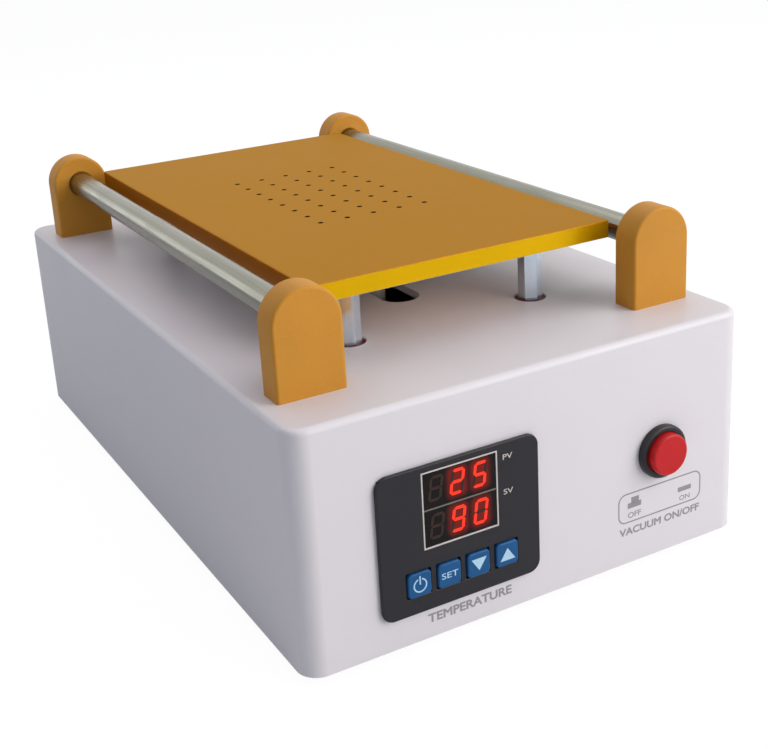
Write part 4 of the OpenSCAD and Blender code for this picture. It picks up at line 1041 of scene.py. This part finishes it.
def arrow_mark(name, x, z, front, up):
    """Triangle with its tip up or down."""
    mark = block(name, (x - ARROW_HALF_X, front, z - ARROW_HALF_Z),
                 (x + ARROW_HALF_X, front + MARK_SUNK, z + ARROW_HALF_Z))
    pick(mark, "VERT", lambda v: (v.co.z > z * MM) == up)
    bpy.ops.transform.resize(value=(ARROW_TIP, 1, 1))
    release()
    return mark


class SEPARATOR_OT_keys(Operator):
    """Four blue keys with their marks"""
    bl_idname = "separator.keys"
    bl_label = "Keys"

    def execute(self, context):
        s = sizes()
        lip = s.key_lip / MM
        for name in KEYS:
            low, high = span(f"key_{name}")
            x, _, z = (low + high) / 2
            front = low.y
            cap = block("cap", (low.x + lip, front, low.z + lip),
                        (high.x - lip, front + KEY_CAP, high.z - lip))
            bevel(cap, along("Y"), s.key_round, 5)
            bevel(cap, lying_at("Y", front), s.key_edge, 4)
            plate = block("lip", (low.x, front + KEY_LIP_START, low.z), (high.x, front + KEY_LIP_END, high.z))
            bevel(plate, along("Y"), s.key_lip, 3)
            stem = drum("stem", "Y", (x, z), KEY_STEM_RADIUS, front + KEY_LIP_END - LAP, high.y, 24)
            key = joined(f"key_cap_{name}", [cap, plate, stem])
            finished(key, f"key_{name}", "key_blue", [f"key_{name}"])
            raised = front - s.print_height / MM
            if name == "power":
                mark = power_mark(x, z, raised)
            elif name == "set":
                mark = lettering("mark_set", "SET", x - SET_HALF_X, x + SET_HALF_X, z - SET_HALF_Z,
                                 z + SET_HALF_Z, front, THIN)
            else:
                mark = arrow_mark(f"mark_{name}", x, z, raised, name == "up")
            finished(mark, f"key_{name}", "key_blue", finishes=["key_mark"])
        return {"FINISHED"}


# Suction switch and printing, in millimetres

BOX_MARGIN, BOX_LENGTH, BARREL_WALL = 1.8, 15.0, 0.95
BORE_PLAY, BORE_FLOOR, STEM_HOLE_RADIUS, STEM_HOLE_PAST = 0.1, 0.5, 2.6, 3.0
RING_EDGE, BODY_EDGE = 0.8, 0.2
STEM_LENGTH, STEM_RADIUS, STEM_CHAMFER = 8.0, 2.5, 0.4
# The cap's face: a flat ring, then a shallow slope down to its middle
FACE_RING, FACE_SLOPE, FACE_DROP = 1.0, 1.4, 0.1
# Left, right, low and high on the front
SIGN_FRAME, SIGN_ROUND, SIGN_LINE = (26.2, 55.75, 15.55, 24.65), 2.6, 0.4
SIGNS = ((29.5, 34.2, 19.9, 21.5), (30.7, 33.4, 21.4, 23.1), (47.4, 52.2, 19.6, 21))
# The words, the same four places, and how bold they are
WORDS = {"OFF": (29.6, 34.2, 16.9, 18.6, 0.012), "ON": (48, 51.8, 16.8, 18.3, 0.012),
         "VACUUM ON/OFF": (26.6, 55.4, 11.8, 14.1, 0.03), "TEMPERATURE": (-35.2, -9.5, 7.3, 9.9, 0.03)}


class SEPARATOR_OT_switch(Operator):
    """Suction switch with its ring and red cap"""
    bl_idname = "separator.suction_switch"
    bl_label = "Suction switch"

    def execute(self, context):
        s = sizes()
        low, high = span("suction_switch_body")
        tip, tail = span("suction_button")
        x, _, z = (tip + tail) / 2
        radius, wall = (tail.x - tip.x) / 2, span("case_shell")[0].y
        front, box, half = low.y - PAST, high.y - BOX_LENGTH, radius + BOX_MARGIN
        ring = drum("switch_body", "Y", (x, z), s.ring / MM / 2, low.y, wall, 72)
        bevel(ring, lying_at("Y", low.y), RING_EDGE * MM, 4)
        cut(ring, [drum("barrel", "Y", (x, z), radius + BARREL_WALL, wall - SEAM, box, 64)], "UNION")
        cut(ring, [block("box", (x - half, box - SEAM, z - half), (x + half, high.y, z + half))], "UNION")
        cut(ring, [drum("bore", "Y", (x, z), radius + BORE_PLAY, front, box - BORE_FLOOR, 64)])
        cut(ring, [drum("bore", "Y", (x, z), STEM_HOLE_RADIUS, front, tail.y + STEM_HOLE_PAST, 32)])
        softened(ring, BODY_EDGE * MM, 2, 55)
        finished(ring, "base", "switch_grey", ["suction_switch_body"], finishes=["switch_ring"])
        shoulder = tail.y - STEM_LENGTH
        cap = drum("cap", "Y", (x, z), radius, tip.y, shoulder)
        bevel(cap, lying_at("Y", tip.y), s.cap_edge, 5)
        pick(cap, "FACE", facing("Y", -1, tip.y))
        bpy.ops.mesh.inset(thickness=FACE_RING * MM)
        bpy.ops.mesh.inset(thickness=FACE_SLOPE * MM)
        bpy.ops.transform.translate(value=(0, FACE_DROP * MM, 0))
        release()
        stem = drum("stem", "Y", (x, z), STEM_RADIUS, shoulder - SEAM, tail.y, 32)
        button = joined("button_cap", [cap, bevel(stem, lying_at("Y", tail.y), STEM_CHAMFER * MM, 2)])
        finished(button, "button", "button_red", ["suction_button"], 40)
        return {"FINISHED"}


class SEPARATOR_OT_printing(Operator):
    """Plain printing on the case front"""
    bl_idname = "separator.printing"
    bl_label = "Printing"

    def execute(self, context):
        wall = span("case_shell")[0].y
        front, back = wall - sizes().print_height / MM, wall + LAP
        left, right, low, high = SIGN_FRAME
        around = block("frame", (left, front, low), (right, back, high))
        inside = block("inside", (left + SIGN_LINE, front - PAST, low + SIGN_LINE),
                       (right - SIGN_LINE, back + PAST, high - SIGN_LINE))
        bevel(around, along("Y"), SIGN_ROUND * MM, 8)
        bevel(inside, along("Y"), (SIGN_ROUND - SIGN_LINE) * MM, 8)
        pieces = [cut(around, [inside])]
        for left, right, low, high in SIGNS:
            pieces.append(block("switch_sign", (left, front, low), (right, back, high)))
        for words, (left, right, low, high, bold) in WORDS.items():
            pieces.append(lettering("words", words, left, right, low, high, wall, bold))
        finished(joined("front_printing", pieces), "base", "case_white", finishes=["printing"])
        return {"FINISHED"}


# Rear wall, in millimetres

INLET_HALF_X, INLET_HALF_Z, INLET_DEPTH, INLET_CHAMFER = 12.3, 8.3, 17.0, 4.0
INLET_FLANGE, INLET_WALL, INLET_EDGE = 2.6, 1.7, 0.35
INLET_SCREW_X, INLET_SCREW_RADIUS = 20.0, 1.7
PIN_HALF_X, PIN_HALF_Z, PIN_EDGE = 1, 2, 0.6
PIN_PLACES = ((-7, -2), (7, -2), (0, 2))
ROCKER_FLANGE, ROCKER_WALL, ROCKER_STEP, ROCKER_EDGE = 2.0, 1.2, 1.0, 0.3
# The paddle: its sweep, how far its axis and waist stand out, its play, and its pin's radius and reach
ROCKER_RADIUS, ROCKER_SWEEP_PLAY, ROCKER_TILT = 8.4, 0.2, math.radians(8)
AXIS_OUT, WAIST, PADDLE_PLAY, PADDLE_BACK, PADDLE_EDGE = 0.6, 1.0, 0.1, 4.0, 0.4
PADDLE_REACH, PIN_RADIUS, PIN_REACH = 1.2, 1.2, 0.8
# The marks on it: how far from the axis, as a share of its radius, their half size and line, and their relief
ROCKER_MARK_OUT, ROCKER_MARK_HALF, ROCKER_MARK_LINE = 0.55, 1.5, 0.4
ROCKER_MARK_SUNK, ROCKER_MARK_RAISED = 0.05, 0.03


def cut_corner(piece, z):
    """Chamfer the two upper corners that the mains connector needs."""
    across = along("Y")
    return bevel(piece, lambda e: across(e) and ends(e)[0].z > z, INLET_CHAMFER * MM, 1)


class SEPARATOR_OT_inlet(Operator):
    """Mains inlet with its opening and three pins"""
    bl_idname = "separator.mains_inlet"
    bl_label = "Mains inlet"

    def execute(self, context):
        low, high = span("inlet_socket")
        x, _, z = (low + high) / 2
        flange = high.y - INLET_FLANGE
        socket = block("inlet", (low.x, flange, low.z), (high.x, high.y, high.z))
        bevel(socket, along("Y"), INLET_WALL * MM, 5)
        half_x, half_z = INLET_HALF_X + INLET_WALL, INLET_HALF_Z + INLET_WALL
        body = block("body", (x - half_x, low.y, z - half_z), (x + half_x, flange + SEAM, z + half_z))
        cut(socket, [cut_corner(body, z)], "UNION")
        room = block("room", (x - INLET_HALF_X, high.y - INLET_DEPTH, z - INLET_HALF_Z),
                     (x + INLET_HALF_X, high.y + NEAR, z + INLET_HALF_Z))
        cutters = [cut_corner(room, z)]
        for hole_x in (x - INLET_SCREW_X, x + INLET_SCREW_X):
            cutters.append(drum("screw_hole", "Y", (hole_x, z), INLET_SCREW_RADIUS, high.y - PAST,
                                high.y + NEAR, 32))
        for cutter in cutters:
            cut(socket, [cutter])
        softened(socket, INLET_EDGE * MM, 3, 50)
        finished(socket, "base", "black_plastic", ["inlet_socket"])
        low, high = span("inlet_pins")
        pins = []
        for across, up in PIN_PLACES:
            pin = block("pin", (x + across - PIN_HALF_X, low.y, z + up - PIN_HALF_Z),
                        (x + across + PIN_HALF_X, high.y, z + up + PIN_HALF_Z))
            pins.append(bevel(pin, lying_at("Y", high.y), PIN_EDGE * MM, 2))
        finished(joined("inlet_pin_set", pins), "base", "brass", ["inlet_pins"])
        return {"FINISHED"}


class SEPARATOR_OT_rocker(Operator):
    """Power rocker with plain marks, in its housing"""
    bl_idname = "separator.power_rocker"
    bl_label = "Power rocker"

    def execute(self, context):
        low, high = span("rocker_housing")
        wall = high.y - ROCKER_FLANGE
        half = (high.x - low.x) / 2 - ROCKER_STEP - ROCKER_WALL
        axis = Vector(((low.x + high.x) / 2, wall + AXIS_OUT, (low.z + high.z) / 2))
        self.make_housing(low, high, wall, half, axis)
        self.make_paddle(half, axis)
        self.make_marks(axis)
        return {"FINISHED"}

    def make_housing(self, low, high, wall, half, axis):
        housing = block("rocker_case", (low.x, wall, low.z), high)
        bevel(housing, along("Y"), ROCKER_WALL * MM, 4)
        body = block("body", (low.x + ROCKER_STEP, low.y, low.z + ROCKER_STEP),
                     (high.x - ROCKER_STEP, wall + SEAM, high.z - ROCKER_STEP))
        cut(housing, [body], "UNION")
        sweep = ROCKER_RADIUS + ROCKER_SWEEP_PLAY
        cut(housing, [block("room", (axis.x - half, axis.y - 2 * PAST, axis.z - sweep),
                            (axis.x + half, high.y + 2 * NEAR, axis.z + sweep))])
        softened(housing, ROCKER_EDGE * MM, 3, 50)
        finished(housing, "base", "black_plastic", ["rocker_housing"])

    def make_paddle(self, half, axis):
        """Paddle with a waist on its axis, tilted to where it rests."""
        reach = ROCKER_RADIUS * PADDLE_REACH
        lift = WAIST + reach * math.tan(ROCKER_TILT)
        side = half - PADDLE_PLAY
        paddle = block("paddle", (-side, -PADDLE_BACK, -reach), (side, lift, reach))
        pick(paddle, "FACE", lambda face: True)
        bpy.ops.mesh.bisect(plane_co=(0, 0, 0), plane_no=(0, 0, 1))
        pick(paddle, "VERT", lambda v: abs(v.co.z) < SAME * MM and v.co.y > 0)
        bpy.ops.transform.translate(value=(0, (WAIST - lift) * MM, 0))
        release()
        cut(paddle, [drum("sweep", "X", (0, 0), ROCKER_RADIUS, -half, half, 96)], "INTERSECT")
        softened(paddle, PADDLE_EDGE * MM, 3, 50)
        end = half + PIN_REACH
        whole = joined("paddle", [paddle, drum("pin", "X", (0, 0), PIN_RADIUS, -end, end, 24)])
        tilted = copied(whole, "rocker_cap", axis, (ROCKER_TILT, 0, 0))
        finished(tilted, "rocker", "black_plastic", ["power_rocker"], 30)
        discard(whole)

    def make_marks(self, axis):
        """Ring and bar on the two halves of the paddle."""
        back, front, size, line = -ROCKER_MARK_SUNK, ROCKER_MARK_RAISED, ROCKER_MARK_HALF, ROCKER_MARK_LINE
        ring = drum("mark", "Y", (0, 0), size, back, front, 32)
        cut(ring, [drum("hole", "Y", (0, 0), size - line, -NEAR, NEAR, 32)])
        marks = []
        for mark, side in ((ring, -1), (block("mark", (-line / 2, back, -size), (line / 2, front, size)), 1)):
            up = side * ROCKER_RADIUS * ROCKER_MARK_OUT
            rise = WAIST + abs(up) * math.tan(ROCKER_TILT)
            leant = copied(mark, "mark_copy", (0, rise, up), (-side * ROCKER_TILT, 0, 0))
            marks.append(copied(leant, "mark_copy", axis, (ROCKER_TILT, 0, 0)))
            discard(mark, leant)
        finished(joined("rocker_marks", marks), "rocker", "black_plastic", finishes=["key_mark"])


# Studio, in metres

FLOOR_SIZE, FLOOR_COLOUR = 30, (0.86, 0.86, 0.87, 1)
# How much of the floor that the camera sees is plain white light, and how bright that is
FLOOR_SHARE, FLOOR_GLOW = 0.9, 1.06
SKY_COLOUR, SKY_STRENGTH = (0.78, 0.85, 1.0, 1), 0.24
# Lens and sensor in millimetres, the view's shift as a share of the sensor, and the nearest distance shown
CAMERA_LENS, CAMERA_SENSOR, CAMERA_SHIFT, CAMERA_NEAR = 60.06, 36, -0.1093, 0.01
CAMERA_PLACE = (-0.17493, -0.35964, 0.19209)
# Azimuth, elevation and roll of the camera in degrees
CAMERA_TURN = (-28.239, 18.456, -3.349)
WHITE = (1, 1, 1, 1)
# Place, target, watts, colour, width and, where it isn't square, depth; the last two stand for light that
# the plate and the left rod throw back
LAMPS = {
    "key_lamp": ((0.8, -0.75, 0.72), (0, 0, 0.05), 7.7, (1.0, 0.975, 0.955), 1.0),
    "top_lamp": ((-0.04, 0.2, 1.1), (0, 0, 0.05), 5.6, (1.0, 0.97, 0.955), 1.4),
    "side_lamp": ((-0.5, 0.9, 0.25), (-0.07, 0.1, 0.05), 0.35, (0.94, 0.95, 1.0), 0.4),
    "low_lamp": ((0.72, -1.02, 0.42), (0, 0, 0.08), 5.4, (1.0, 0.93, 0.865), 0.8),
    "plate_bounce": ((0.0, -0.056, 0.082), (0, -0.056, 0), 0.0012, (1.0, 0.45, 0.15), 0.05),
    "rod_bounce": ((-0.061, 0.0, 0.081), (-0.061, 0.0, 0), 0.0017, (1.0, 0.88, 0.92), 0.013, 0.15),
}


def lamp(name, place, target, power, shade, width, depth=None):
    """Soft lamp that looks at a target and doesn't show itself."""
    release()
    bpy.ops.object.light_add(type="AREA", location=place)
    light = bpy.context.object
    light.name = name
    light.rotation_euler = (Vector(target) - Vector(place)).to_track_quat("-Z", "Y").to_euler()
    light.data.energy = power
    light.data.color = shade
    light.data.size = width
    if depth:
        light.data.shape = "RECTANGLE"
        light.data.size_y = depth
    light.visible_camera = False


def make_floor():
    """Pale floor that keeps the shadow, white to the camera and clear from below."""
    release()
    bpy.ops.mesh.primitive_plane_add(size=FLOOR_SIZE, location=(0, 0, 0))
    floor = bpy.context.object
    floor.name = "floor"
    pale = bpy.data.materials.new("floor_pale")
    pale.use_nodes = True
    tree = pale.node_tree
    tree.nodes.clear()
    rays = node(tree, "LightPath", (-400, 200))
    lit = node(tree, "BsdfDiffuse", (-400, 0), {"Color": FLOOR_COLOUR})
    glow = node(tree, "Emission", (-400, -200), {"Color": WHITE, "Strength": FLOOR_GLOW})
    seen = node(tree, "Math", (-200, 200), {0: rays.outputs["Is Camera Ray"], 1: FLOOR_SHARE},
                operation="MULTIPLY")
    both = node(tree, "MixShader", (0, 0), {0: seen.outputs[0], 1: lit.outputs[0], 2: glow.outputs[0]})
    side = node(tree, "NewGeometry", (0, 300))
    clear = node(tree, "BsdfTransparent", (0, -200))
    both = node(tree, "MixShader", (200, 0),
                {0: side.outputs["Backfacing"], 1: both.outputs[0], 2: clear.outputs[0]})
    out = node(tree, "OutputMaterial", (400, 0))
    tree.links.new(both.outputs[0], out.inputs["Surface"])
    floor.data.materials.append(pale)


def make_sky(scene):
    """Soft sky that is white to the camera and in what metal and glass show."""
    world = scene.world or bpy.data.worlds.new("sky")
    scene.world = world
    world.use_nodes = True
    tree = world.node_tree
    tree.nodes.clear()
    rays = node(tree, "LightPath", (-600, 200)).outputs
    seen = node(tree, "Math", (-400, 200), {0: rays["Is Camera Ray"], 1: rays["Is Glossy Ray"]},
                operation="MAXIMUM")
    seen = node(tree, "Math", (-200, 200), {0: seen.outputs[0], 1: rays["Is Transmission Ray"]},
                operation="MAXIMUM")
    soft = node(tree, "Background", (-200, 0), {"Color": SKY_COLOUR, "Strength": SKY_STRENGTH})
    white = node(tree, "Background", (-200, -200), {"Color": WHITE, "Strength": 1.0})
    both = node(tree, "MixShader", (0, 0), {0: seen.outputs[0], 1: soft.outputs[0], 2: white.outputs[0]})
    out = node(tree, "OutputWorld", (200, 0))
    tree.links.new(both.outputs[0], out.inputs["Surface"])


def make_camera(scene):
    """Camera at the photographer's place, turned by its azimuth, elevation and roll."""
    bpy.ops.object.camera_add()
    camera = bpy.context.object
    camera.name = "camera"
    camera.data.lens = CAMERA_LENS
    camera.data.sensor_width = CAMERA_SENSOR
    camera.data.shift_y = CAMERA_SHIFT
    camera.data.clip_start = CAMERA_NEAR
    azimuth, elevation, roll = (math.radians(v) for v in CAMERA_TURN)
    back = Vector((math.sin(azimuth) * math.cos(elevation), -math.cos(azimuth) * math.cos(elevation),
                   math.sin(elevation)))
    level = Vector((math.cos(azimuth), math.sin(azimuth), 0))
    upright = back.cross(level)
    right = level * math.cos(roll) + upright * math.sin(roll)
    up = upright * math.cos(roll) - level * math.sin(roll)
    turned = Matrix((right, up, back)).transposed().to_4x4()
    camera.matrix_world = Matrix.Translation(Vector(CAMERA_PLACE)) @ turned
    scene.camera = camera


class SEPARATOR_OT_studio(Operator):
    """Floor, sky, lamps and camera"""
    bl_idname = "separator.studio"
    bl_label = "Studio"

    def execute(self, context):
        make_floor()
        make_sky(context.scene)
        for name, values in LAMPS.items():
            lamp(name, *values)
        make_camera(context.scene)
        context.scene.view_settings.view_transform = "Standard"
        return {"FINISHED"}


STEPS = (SEPARATOR_OT_finishes, SEPARATOR_OT_case, SEPARATOR_OT_feet, SEPARATOR_OT_screws,
         SEPARATOR_OT_brackets, SEPARATOR_OT_rods, SEPARATOR_OT_posts, SEPARATOR_OT_plate, SEPARATOR_OT_cover,
         SEPARATOR_OT_bezel, SEPARATOR_OT_digits, SEPARATOR_OT_keys, SEPARATOR_OT_switch,
         SEPARATOR_OT_printing, SEPARATOR_OT_inlet, SEPARATOR_OT_rocker, SEPARATOR_OT_studio)


class SEPARATOR_PT_sidebar(Panel):
    """Steps that dress the separator"""
    bl_idname = "SEPARATOR_PT_sidebar"
    bl_label = "Vacuum screen separator"
    bl_space_type = "VIEW_3D"
    bl_region_type = "UI"
    bl_category = "Separator"

    def draw(self, context):
        for step in STEPS:
            self.layout.operator(step.bl_idname)
        for group in (context.scene.separator_sizes, context.scene.separator_colours):
            box = self.layout.box()
            for name in group.bl_rna.properties.keys():
                if name not in ("rna_type", "name"):
                    box.prop(group, name)


CLASSES = (SeparatorSizes, SeparatorColours, *STEPS, SEPARATOR_PT_sidebar)


def register():
    for item in CLASSES:
        bpy.utils.register_class(item)
    bpy.types.Scene.separator_sizes = PointerProperty(type=SeparatorSizes)
    bpy.types.Scene.separator_colours = PointerProperty(type=SeparatorColours)


def unregister():
    del bpy.types.Scene.separator_colours
    del bpy.types.Scene.separator_sizes
    for item in reversed(CLASSES):
        bpy.utils.unregister_class(item)


def main():
    register()
    for step in STEPS:
        group, name = step.bl_idname.split(".")
        getattr(getattr(bpy.ops, group), name)()


if __name__ == "__main__":
    main()
